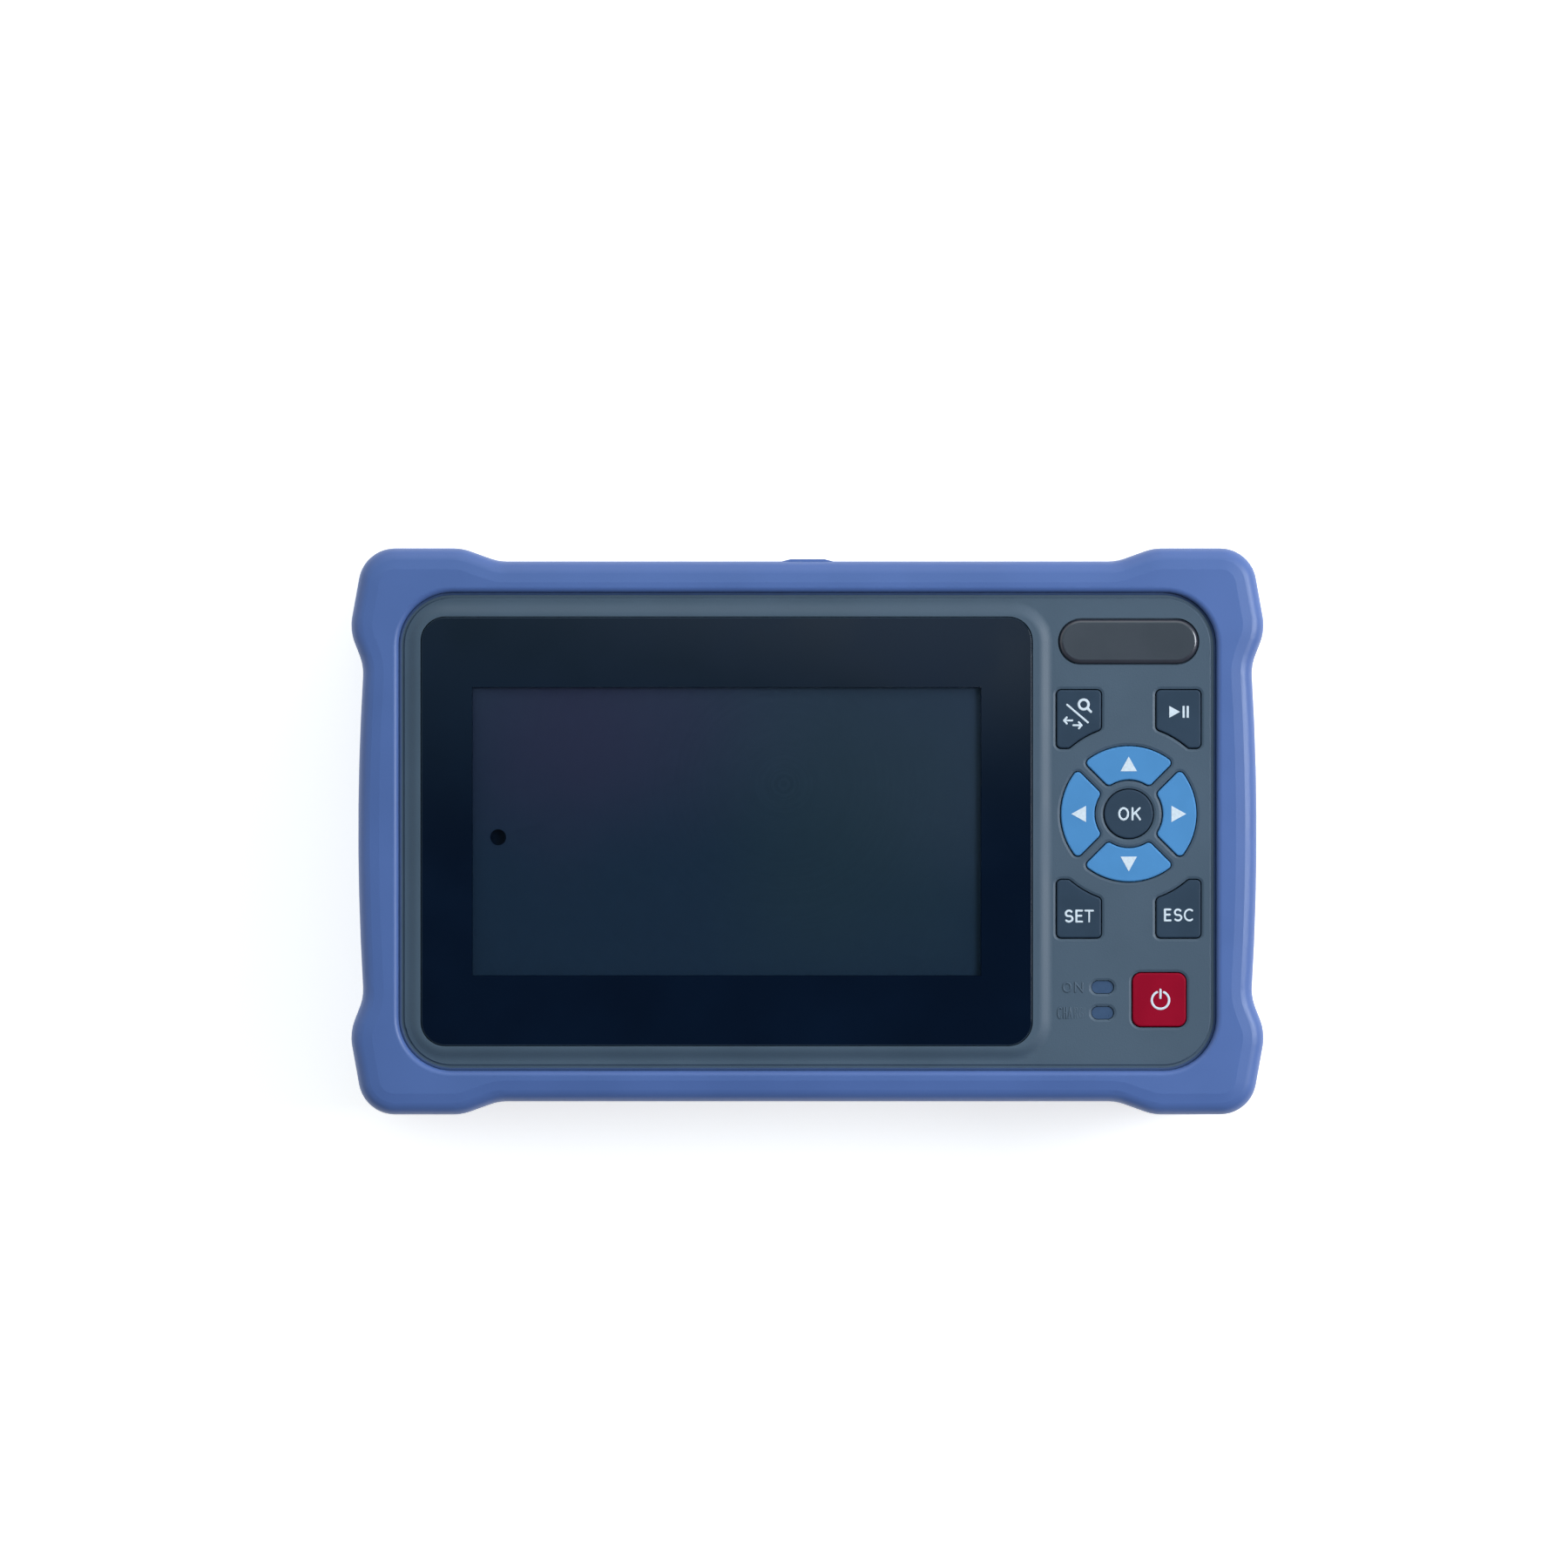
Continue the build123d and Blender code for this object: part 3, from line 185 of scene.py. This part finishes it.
# Finishes of the front

bootRubber = {"colour": (80, 107, 168), "spread": 0.04, "rough": 0.4, "grainSize": 0.5 * mm,
              "grainDepth": 0.008 * mm, "patchSize": 22 * mm}
housingPlastic = {"colour": (68, 86, 104), "spread": 0.04, "rough": 0.5, "grainSize": 0.3 * mm,
                  "grainDepth": 0.016 * mm, "patchSize": 16 * mm}
arrowSilicone = {"colour": (76, 140, 197), "spread": 0.03, "rough": 0.5, "shine": 0.3, "grainSize": 0.2 * mm,
                 "grainDepth": 0.006 * mm, "patchSize": 6 * mm}
darkSilicone = {"colour": (43, 61, 80), "spread": 0.05, "rough": 0.5, "shine": 0.25, "grainSize": 0.2 * mm,
                "grainDepth": 0.006 * mm, "patchSize": 6 * mm}
redSilicone = {"colour": (151, 3, 38), "spread": 0.05, "rough": 0.45, "shine": 0.1, "grainSize": 0.2 * mm,
               "grainDepth": 0.006 * mm, "patchSize": 6 * mm}
badgeResin = {"colour": (50, 52, 63), "spread": 0.06, "rough": 0.3, "grainSize": 0.4 * mm,
              "grainDepth": 0.002 * mm, "coat": 0.8, "patchSize": 9 * mm}
lampResin = {"colour": (59, 82, 115), "spread": 0.05, "rough": 0.3, "grainSize": 0.3 * mm,
             "grainDepth": 0.003 * mm, "patchSize": 2 * mm}
standPlastic = {"colour": (70, 87, 104), "spread": 0.04, "rough": 0.5, "grainSize": 0.28 * mm,
                "grainDepth": 0.02 * mm}
bayPlastic = {"colour": (36, 40, 46), "spread": 0.08, "rough": 0.55, "grainSize": 0.3 * mm,
              "grainDepth": 0.02 * mm}
socketPlastic = {"colour": (24, 25, 28), "spread": 0.08, "rough": 0.4, "grainSize": 0.3 * mm,
                 "grainDepth": 0.008 * mm}


def glassFinish(name):
    # clear over the display, black printed border round it and a fine pale line round its edge, which is a painted
    # highlight
    size = {"navy": (3, 18, 38), "soft": 0.1 * mm, "clear": 0.94, "corner": 4.5 * mm, "edge": (74, 92, 112),
            "edgeHighlightWidth": 0.22 * mm, "shine": 0.25, "bend": 1.5}
    low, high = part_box("display_film")
    glassLow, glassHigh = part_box("touch_glass")
    look = Look(name)
    x, y, _ = look.axes()
    soft = size["soft"]
    insideX = look.ramp(x, low.x - soft, low.x + soft) * look.ramp(x, high.x - soft, high.x + soft, 1.0, 0.0)
    insideY = look.ramp(y, low.y - soft, low.y + soft) * look.ramp(y, high.y - soft, high.y + soft, 1.0, 0.0)
    window = insideX * insideY
    # how far each point is inside the rounded rectangle of the glass
    past = [(abs(axis - (a + b) / 2) - (b - a) / 2 + size["corner"]).atLeast(0)
            for axis, a, b in ((x, glassLow.x, glassHigh.x), (y, glassLow.y, glassHigh.y))]
    inside = size["corner"] - (past[0] * past[0] + past[1] * past[1]).root()
    # the pale line along the edge of the glass is a painted highlight
    rim = look.ramp(inside, 0.0, size["edgeHighlightWidth"], 1.0, 0.0)
    smudge = look.ramp(look.noise(30 * mm, 3.0), 0.3, 0.7)
    navy = linear(*size["navy"])
    tone = look.blend(smudge, opaque(navy, 0.85), opaque(navy, 1.15))
    look.set(Base_Color=look.blend(rim, tone, opaque(linear(*size["edge"]))))
    look.set(Alpha=1 - window * size["clear"], Roughness=look.ramp(smudge, 0, 1, 0.05, 0.08))
    return look.set(Specular_IOR_Level=size["shine"], IOR=size["bend"])


def displayHaze(name):
    # antiglare film over the dark panel: blue-green below, greyer and lighter above a slanting soft edge, that
    # lighter upper part being a painted reflection, with faint green and violet patches
    size = {"low": (19, 40, 62), "high": (41, 55, 76), "green": (31, 53, 62), "violet": (44, 44, 72),
            "rough": 0.4, "shine": 0.2, "slant": 0.28, "edge": 6 * mm, "soft": 16 * mm,
            "cloud": 34 * mm, "edgeWander": 20 * mm, "tintWander": 30 * mm, "grain": 0.12 * mm, "deep": 0.002 * mm}
    tints = (("green", (12 * mm, 2 * mm), 42 * mm, 0.5), ("violet", (-44 * mm, 22 * mm), 40 * mm, 0.7))
    look = Look(name)
    x, y, _ = look.axes()
    cloud = look.noise(size["cloud"]) - 0.5
    # the lighter, greyer part above the slanting edge is a painted reflection
    above = y + size["slant"] * x + cloud * size["edgeWander"]
    reflectedShare = look.ramp(above, size["edge"] - size["soft"], size["edge"] + size["soft"])
    tone = look.blend(reflectedShare, opaque(linear(*size["low"])), opaque(linear(*size["high"])))
    for tint, middle, reach, share in tints:
        alongX, alongY = x - middle[0], y - middle[1]
        away = (alongX * alongX + alongY * alongY).root() + cloud * size["tintWander"]
        tone = look.blend(look.ramp(away, 0.0, reach, share, 0.0), tone, opaque(linear(*size[tint])))
    look.set(Base_Color=tone, Normal=look.bump(look.noise(size["grain"]), size["deep"]))
    return look.set(Roughness=size["rough"], Specular_IOR_Level=size["shine"])


def displayPanel(name):
    # the dark panel under the film, with a fine mottle
    size = {"dark": (2, 12, 28), "light": (4, 17, 36), "mottle": 0.3 * mm, "rough": 0.3, "shine": 0.1}
    look = Look(name)
    mottle = look.ramp(look.noise(size["mottle"]), 0.4, 0.6)
    look.set(Base_Color=look.blend(mottle, opaque(linear(*size["dark"])), opaque(linear(*size["light"]))))
    return look.set(Roughness=size["rough"], Specular_IOR_Level=size["shine"])


# Finishes inside and at the ports

def metal(name, colour, rough, size=0.6 * mm, streak=0.05):
    # plated or machined metal, with a faint mottle in its gloss and a fine grain
    wander, grain, deep = 0.12, 0.15 * mm, 0.003 * mm
    look = Look(name)
    mottle = look.ramp(look.noise(size, 3.0), 0.3, 0.7)
    tone = linear(*colour)
    look.set(Base_Color=look.blend(mottle, opaque(tone, 1 - streak), opaque(tone, 1 + streak)), Metallic=1.0)
    look.set(Roughness=look.ramp(mottle, 0, 1, rough, rough + wander))
    return look.set(Normal=look.bump(look.noise(grain), deep))


def circuitBoard(name):
    # green solder mask, with lines of copper showing through
    size = {"mask": (12, 78, 44), "track": (30, 108, 62), "perMetre": 380.0, "rough": 0.35, "deep": 0.03 * mm}
    look = Look(name)
    lines = look.add("ShaderNodeTexVoronoi", {"feature": "DISTANCE_TO_EDGE"},
                     {"Vector": look.place(), "Scale": size["perMetre"]})
    track = look.ramp(lines, 0.06, 0.10, 1.0, 0.0)
    tone = look.blend(track, opaque(linear(*size["mask"])), opaque(linear(*size["track"])))
    return look.set(Base_Color=tone, Roughness=size["rough"], Normal=look.bump(track, size["deep"]))


def plainFinish(name, colour, rough, size=2 * mm, grainDepth=0.01 * mm):
    return moulded(name, {"colour": colour, "rough": rough, "grainSize": 0.3 * mm, "grainDepth": grainDepth,
                          "patchSize": size})


finishes = {
    "boot_rubber": moulded("boot_rubber", bootRubber),
    "door_rubber": moulded("door_rubber", bootRubber),
    "housing_grey": moulded("housing_grey", housingPlastic),
    "stand_plastic": moulded("stand_plastic", standPlastic),
    "front_glass": glassFinish("front_glass"),
    "display_haze": displayHaze("display_haze"),
    "display_panel": displayPanel("display_panel"),
    "arrow_blue": moulded("arrow_blue", arrowSilicone),
    "key_dark": moulded("key_dark", darkSilicone),
    "key_red": moulded("key_red", redSilicone),
    "badge_resin": moulded("badge_resin", badgeResin),
    "lamp_window": moulded("lamp_window", lampResin),
    "bay_plastic": moulded("bay_plastic", bayPlastic),
    "socket_plastic": moulded("socket_plastic", socketPlastic),
    "adapter_metal": metal("adapter_metal", (196, 192, 184), 0.28),
    "socket_metal": metal("socket_metal", (190, 191, 194), 0.25),
    "steel": metal("steel", (178, 179, 182), 0.3),
    "sheet_metal": metal("sheet_metal", (186, 187, 190), 0.35, 1.5 * mm),
    "module_case": metal("module_case", (170, 172, 176), 0.42, 3 * mm),
    "speaker_metal": metal("speaker_metal", (140, 141, 144), 0.45),
    "insert_brass": metal("insert_brass", (206, 170, 100), 0.32),
    "circuit_board": circuitBoard("circuit_board"),
    "battery_wrap": plainFinish("battery_wrap", (36, 92, 150), 0.35, 8 * mm),
    "flex_film": plainFinish("flex_film", (176, 110, 40), 0.35),
    "foam": plainFinish("foam", (50, 51, 54), 0.9, grainDepth=0.1 * mm),
    "silicone": plainFinish("silicone", (140, 146, 152), 0.6),
    "pigtail_jacket": plainFinish("pigtail_jacket", (222, 206, 60), 0.5),
}
for part in frame["record"]["subparts"]:
    node = nodes[part["node"]]
    node.data.materials.clear()
    node.data.materials.append(finishes[part["material_slot"]].material)
print("finishes made:", len(finishes))


# Printed and moulded marks

def linked(name, data):
    thing = bpy.data.objects.new(name, data)
    bpy.context.scene.collection.objects.link(thing)
    return thing


def dressed(name, data, look, body):
    # a piece of the scene that rides on one of the bodies
    data.materials.append(look.material)
    piece = linked(name, data)
    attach(piece, body)


def pieceFrom(mesh, name, look, body):
    data = bpy.data.meshes.new(name)
    bmesh.ops.recalc_face_normals(mesh, faces=mesh.faces)
    mesh.to_mesh(data)
    mesh.free()
    dressed(name, data, look, body)


ink = {"colour": (222, 232, 243), "thick": 0.1 * mm, "sunk": 0.06 * mm, "rough": 0.5, "worn": 0.88}


def inkFinish():
    look = Look("legend_ink")
    wear = look.ramp(look.noise(0.5 * mm, 3.0), 0.25, 0.7)
    tone = linear(*ink["colour"])
    return look.set(Base_Color=look.blend(wear, opaque(tone, ink["worn"]), opaque(tone)), Roughness=ink["rough"])


legendInk = inkFinish()


def filled(name, outlines, place, look, body):
    # printed areas with straight sides: outlines in millimetres about the place
    mesh = bmesh.new()
    for outline in outlines:
        corners = [mesh.verts.new((place.x + x * mm, place.y + y * mm, place.z)) for x, y in outline]
        grown = bmesh.ops.extrude_face_region(mesh, geom=[mesh.faces.new(corners)])
        lowered = [v for v in grown["geom"] if isinstance(v, bmesh.types.BMVert)]
        bmesh.ops.translate(mesh, verts=lowered, vec=(0, 0, -ink["thick"]))
    pieceFrom(mesh, name, look, body)


def roundEnds(path, half):
    # the path's points with a radius share each, and a few more that close each end in a half circle
    ends = [1.0, 0.92, 0.7, 0.38]
    whole = [(x, y, 1.0) for x, y in path]
    for at, beside in ((0, 1), (-1, -2)):
        end = Vector(path[at])
        out = (end - Vector(path[beside])).normalized()
        tip = [(*(end + out * half * k), math.sqrt(1 - k * k)) for k in ends]
        whole = tip + whole if at == 0 else whole + tip[::-1]
    return whole


def stroked(name, strokes, width, tall, place, look, body):
    # lines of even width with round ends, as low ridges: strokes in millimetres about the place, which is their top;
    # each next stroke lies a little lower, so that two that cross don't share a face
    stepDown = 0.04
    curve = bpy.data.curves.new(name, "CURVE")
    curve.dimensions = "3D"
    curve.bevel_depth = width * mm / 2
    curve.bevel_resolution = 3
    curve.use_fill_caps = True
    for path in strokes:
        closed = path[0] == path[-1]
        points = [(x, y, 1.0) for x, y in path[:-1]] if closed else roundEnds(path, width / 2)
        spline = curve.splines.new("POLY")
        spline.use_cyclic_u = closed
        spline.points.add(len(points) - 1)
        for knot, (x, y, share) in zip(spline.points, points):
            knot.co = (x * mm, y * mm, -stepDown * width * mm * strokes.index(path), 1)
            knot.radius = share
    draft = linked(name + "_draft", curve)
    bpy.context.view_layer.update()
    data = bpy.data.meshes.new_from_object(draft.evaluated_get(bpy.context.evaluated_depsgraph_get()))
    data.name = name
    bpy.data.objects.remove(draft)
    for vertex in data.vertices:
        x, y, z = vertex.co
        vertex.co = (place.x + x, place.y + y, place.z - tall / 2 + z * tall / (width * mm))
    data.materials.clear()
    data.shade_smooth()
    dressed(name, data, look, body)


def arc(x, y, radiusX, radiusY, start, end, steps=28):
    turns = [math.radians(start + (end - start) * i / steps) for i in range(steps + 1)]
    points = [(x + radiusX * math.cos(t), y + radiusY * math.sin(t)) for t in turns]
    return points[:-1] + points[:1] if end - start == 360 else points


# Plain letters as the middle lines of their strokes, each in a box of one by one
alphabet = {
    "O": [arc(0.5, 0.5, 0.5, 0.5, 0, 360)],
    "K": [[(0, 0), (0, 1)], [(0.95, 1), (0, 0.38)], [(0.36, 0.62), (1, 0)]],
    "S": [arc(0.5, 0.74, 0.45, 0.26, 35, 245) + arc(0.5, 0.26, 0.5, 0.26, 65, -140)],
    "E": [[(0, 0), (0, 1)], [(0, 1), (0.95, 1)], [(0, 0.53), (0.85, 0.53)], [(0, 0), (1, 0)]],
    "T": [[(0, 1), (1, 1)], [(0.5, 1), (0.5, 0)]],
    "C": [arc(0.62, 0.5, 0.62, 0.5, 52, 308)],
    "N": [[(0, 0), (0, 1)], [(0, 1), (1, 0)], [(1, 0), (1, 1)]],
    "H": [[(0, 0), (0, 1)], [(1, 0), (1, 1)], [(0, 0.5), (1, 0.5)]],
    "A": [[(0, 0), (0.5, 1)], [(0.5, 1), (1, 0)], [(0.2, 0.36), (0.8, 0.36)]],
    "R": [[(0, 0), (0, 1)], [(0, 1)] + arc(0.5, 0.75, 0.5, 0.25, 90, -90) + [(0, 0.5)], [(0.5, 0.5), (1, 0)]],
    "G": [arc(0.55, 0.5, 0.55, 0.5, 50, 320) + [(1, 0.45), (0.62, 0.45)]],
}


def written(word, width):
    # strokes of a word in millimetres: each letter with its left and right edges, and their common top and bottom
    low, high = word["low"] + width / 2, word["high"] - width / 2
    strokes = []
    for letter, left, right in word["letters"]:
        start, reach = left + width / 2, right - left - width
        strokes += [[(start + u * reach, low + v * (high - low)) for u, v in path] for path in alphabet[letter]]
    return strokes


# Triangles, bars and signs on the keys, in millimetres about the middle of each key
arrowMark = {"base": 3.05, "height": 2.75, "out": 0.33}
runMark = {"left": -1.72, "play": 2.0, "bar": 0.4, "bars": (1.15, 1.92), "half": 1.1, "up": 1.34}
zoomMark = {
    "bold": 0.52, "thin": 0.4,
    "ring": arc(0.88, 2.71, 0.9, 0.9, 0, 360),
    "handle": [(1.54, 2.05), (2.22, 1.37)],
    "slash": [(-2.2, 2.65), (1.66, -0.64)],
    "arrows": [(-2.8, -0.28, 1), (0.48, -1.17, -1)], "shaft": 1.55, "wing": (0.5, 0.56),
}
powerMark = {"width": 0.46, "ring": arc(0.22, -0.07, 1.62, 1.62, 114, 426), "bar": [(0.22, 0.35), (0.22, 1.87)]}
keyWords = {
    "key_ok": {"letters": [("O", -1.99, 0.08), ("K", 0.49, 2.32)], "low": -1.25, "high": 1.27},
    "key_set": {"letters": [("S", -2.73, -1.02), ("E", -0.7, 0.8), ("T", 0.97, 2.84)], "low": -2.6, "high": -0.13},
    "key_esc": {"letters": [("E", -2.76, -1.29), ("S", -0.97, 0.74), ("C", 0.94, 2.77)], "low": -2.39, "high": 0.07},
}
wordStroke = 0.42


def inkPlace(key):
    # the top of the print, over the middle of the key
    lowest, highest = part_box(key)
    middle = (lowest + highest) / 2
    return Vector((middle.x, middle.y, highest.z + ink["thick"] - ink["sunk"]))


def inkStrokes(key, strokes, width, suffix=""):
    stroked("legend_" + key[4:] + suffix, strokes, width, ink["thick"], inkPlace(key), legendInk, key)


for key, turn in (("key_up", 0), ("key_left", 90), ("key_down", 180), ("key_right", 270)):
    half, tall = arrowMark["base"] / 2, arrowMark["height"] / 2
    spin = Matrix.Rotation(math.radians(turn), 2)
    out = arrowMark["out"]
    triangle = [spin @ Vector(p) for p in ((-half, out - tall), (half, out - tall), (0, out + tall))]
    filled("legend_" + key[4:], [triangle], inkPlace(key), legendInk, key)

left, up, half = runMark["left"], runMark["up"], runMark["half"]
run = [[(left, up - half), (left + runMark["play"], up), (left, up + half)]]
for right in runMark["bars"]:
    start = right - runMark["bar"]
    run.append([(start, up - half), (right, up - half), (right, up + half), (start, up + half)])
filled("legend_run", run, inkPlace("key_run"), legendInk, "key_run")

inkStrokes("key_zoom", [zoomMark["ring"], zoomMark["handle"]], zoomMark["bold"])
inkStrokes("key_zoom", [zoomMark["slash"]], zoomMark["thin"], "_slash")
wingX, wingY = zoomMark["wing"]
for x, y, way in zoomMark["arrows"]:
    ends = [(x + way * wingX, y + wingY), (x + way * wingX, y - wingY), (x + way * zoomMark["shaft"], y)]
    inkStrokes("key_zoom", [[(x, y), end] for end in ends], zoomMark["thin"], "_arrow" + str(way + 1))
inkStrokes("key_power", [powerMark["ring"], powerMark["bar"]], powerMark["width"])
for key, word in keyWords.items():
    inkStrokes(key, written(word, wordStroke), wordStroke)
print("legends printed")

# The two words moulded into the face beside the lamps, in millimetres about the middle of each lamp
lampWords = {
    "light_guide_on": {"name": "moulded_on", "stroke": 0.42, "low": -1.06, "high": 1.02,
                       "letters": [("O", -7.57, -5.75), ("N", -5.34, -3.57)]},
    "light_guide_charge": {"name": "moulded_charge", "stroke": 0.32, "low": -1.14, "high": 1.15,
                           "letters": [("C", -8.52, -7.63), ("H", -7.44, -6.63), ("A", -6.56, -5.61),
                                       ("R", -5.41, -4.6), ("G", -4.53, -3.57), ("E", -3.5, -2.78)]},
}
raised = {"proud": 0.17 * mm, "badgeSink": 0.8 * mm}
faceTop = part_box("badge_plate")[0].z + raised["badgeSink"]
for guide, word in lampWords.items():
    lowest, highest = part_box(guide)
    place = Vector(((lowest.x + highest.x) / 2, (lowest.y + highest.y) / 2, faceTop + raised["proud"]))
    strokes = written(word, word["stroke"])
    stroked(word["name"], strokes, word["stroke"], 2 * raised["proud"], place, finishes["housing_grey"], "instrument")
print("moulded words made")


# The soft edges of the openings in the face: a low wedge on the bevel round each key and lamp
openingTrim = {"bevelDeep": 0.45 * mm, "edgeDeep": 0.15 * mm, "near": 0.003 * mm, "steep": (0.66, 0.75)}


def trimOpenings():
    shell = nodes["front_housing"].data
    near = openingTrim["near"]
    inner = faceTop - openingTrim["bevelDeep"]
    levels = (faceTop, (faceTop + inner) / 2, inner)
    share = openingTrim["edgeDeep"] / openingTrim["bevelDeep"]
    mesh = bmesh.new()
    for face in shell.polygons:
        spots = [shell.vertices[i].co for i in face.vertices]
        onBevel = all(min(abs(spot.z - level) for level in levels) < near for spot in spots)
        if not onBevel or not openingTrim["steep"][0] < face.normal.z < openingTrim["steep"][1]:
            continue
        low = [mesh.verts.new(spot) for spot in spots]
        high = [mesh.verts.new((spot.x, spot.y, faceTop - (faceTop - spot.z) * share)) for spot in spots]
        mesh.faces.new(high)
        mesh.faces.new(low[::-1])
        for i, spot in enumerate(spots):
            j = (i + 1) % len(spots)
            if max(spot.z, spots[j].z) < inner + near:
                mesh.faces.new((high[i], low[i], low[j], high[j]))
    bmesh.ops.remove_doubles(mesh, verts=mesh.verts, dist=near / 3)
    pieceFrom(mesh, "opening_trim", finishes["housing_grey"], "instrument")


trimOpenings()
print("openings trimmed")

# A thin dark strip on the floor of the groove, along the foot of the boot's lip: a painted shadow, in place of the
# shade there
lipShadowStrip = {"width": 0.56, "tall": 0.2 * mm, "corner": 9.72, "inset": 2.28, "grooveDeep": 0.3 * mm, "up": 0.08 * mm}


def roundedOutline(halfX, halfY, corner):
    points = []
    for sideX, sideY, start in ((1, 1, 0), (-1, 1, 90), (-1, -1, 180), (1, -1, 270)):
        points += arc(sideX * (halfX - corner), sideY * (halfY - corner), corner, corner, start, start + 90, 16)
    return points + points[:1]


# the dark blue of this strip is painted shadow
lipShadowLook = plainFinish("lip_shadow_strip", (44, 68, 110), 0.6)
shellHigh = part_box("front_housing")[1]
lipShadowPath = roundedOutline(shellHigh.x / mm - lipShadowStrip["inset"], shellHigh.y / mm - lipShadowStrip["inset"], lipShadowStrip["corner"])
lipShadowTop = Vector((0, 0, faceTop - lipShadowStrip["grooveDeep"] + lipShadowStrip["up"]))
stroked("lip_shadow_strip", [lipShadowPath], lipShadowStrip["width"], lipShadowStrip["tall"], lipShadowTop, lipShadowLook, "instrument")
print("lip strip laid")


# Floor, light and camera

stage = {"floorHalf": 6.0, "floorLift": 0.67, "floorTone": (0.93, 0.9, 0.88),
         "zenithDark": 0.08, "zenithLight": 0.6, "zenithTint": (0.6, 0.95, 1.0), "zenithEdge": (-0.01, 0.02),
         "stripLight": 1.7, "stripTint": (0.8, 0.98, 1.12), "stripSlant": 0.28, "stripStart": (0.01, 0.028),
         "stripStop": (0.055, 0.035), "stripSide": (0.042, 0.026),
         "near": 0.15, "far": 0.86, "sides": 0.5, "turn": (-0.6, 0.8), "overhead": (0.4, 0.97)}


def floorFinish():
    # white floor that keeps the shadow: what the eye sees of it is lifted a little
    look = Look("floor_white")
    look.set(Base_Color=opaque(stage["floorTone"]), Roughness=0.9, Specular_IOR_Level=0.0)
    seen = look.ray("Camera") + look.ray("Glossy") + look.ray("Transmission")
    glow = look.blend(seen, opaque((0, 0, 0)), opaque((1, 1, 1)))
    return look.set(Emission_Color=glow, Emission_Strength=stage["floorLift"])


def makeFloor():
    mesh = bmesh.new()
    half = stage["floorHalf"]
    mesh.faces.new([mesh.verts.new((x * half, y * half, 0)) for x, y in ((-1, -1), (1, -1), (1, 1), (-1, 1))])
    data = bpy.data.meshes.new("floor")
    mesh.to_mesh(data)
    mesh.free()
    data.materials.append(floorFinish().material)
    floor = linked("floor", data)


makeFloor()


def makeWorld():
    # bright round the far side, dimmer on the near one, with the edge of a pale ceiling just overhead and a
    # brighter strip along it; the eye itself sees white
    world = bpy.data.worlds.new("studio")
    bpy.context.scene.world = world
    world.use_nodes = True
    look = Nodes(world.node_tree)
    x, y, z = look.axes("Generated")
    ceiling = look.blend(look.ramp(y, *stage["zenithEdge"]), opaque((1, 1, 1), stage["zenithDark"]),
                         opaque(stage["zenithTint"], stage["zenithLight"]))
    strip = (look.ramp(y + stage["stripSlant"] * x, *stage["stripStart"]) * look.ramp(y, *stage["stripStop"])
             * look.ramp(x, *stage["stripSide"]))
    ceiling = look.blend(strip, ceiling, opaque(stage["stripTint"], stage["stripLight"]))
    walls = look.ramp(y + stage["sides"] * abs(x), *stage["turn"], stage["near"], stage["far"])
    rim = look.blend(walls, opaque((0, 0, 0)), opaque((1, 1, 1)))
    shade = look.blend(look.ramp(z, *stage["overhead"]), rim, ceiling)
    background = world.node_tree.nodes["Background"]
    look.feed(background.inputs["Color"], look.blend(look.ray("Camera"), shade, opaque((1, 1, 1))))
    background.inputs["Strength"].default_value = 1.0


makeWorld()


def lamp(name, place, size, strength, tint):
    # a round soft light that looks at the middle of the object
    light = bpy.data.lights.new(name, "AREA")
    light.shape = "DISK"
    light.size = size
    light.energy = strength
    light.color = tint
    thing = linked(name, light)
    thing.location = place
    thing.rotation_euler = (-Vector(place)).to_track_quat("-Z", "Y").to_euler()


lamp("right_light", (0.62, 0.13, 0.66), 0.42, 5.0, (0.93, 0.99, 1.06))
lamp("far_light", (0.12, 0.8, 0.75), 1.0, 1.7, (0.97, 0.99, 1.0))


def makeCamera():
    # straight above: the frame is 1800 pixels across, at 6.15 pixels to a millimetre of the face
    view = {"across": 1800 / 6.15 * mm, "middle": (-4.39 * mm, 8.86 * mm), "above": 1.5, "sensor": 36.0, "near": 0.01}
    camera = bpy.data.cameras.new("photo_camera")
    thing = linked("photo_camera", camera)
    thing.location = (*view["middle"], cadBox[1].z + view["above"])
    camera.sensor_width = view["sensor"]
    camera.lens = view["sensor"] * view["above"] / view["across"]
    camera.clip_start = view["near"]
    bpy.context.scene.camera = thing


makeCamera()
bpy.context.scene.view_settings.view_transform = "Standard"
print("stage set")
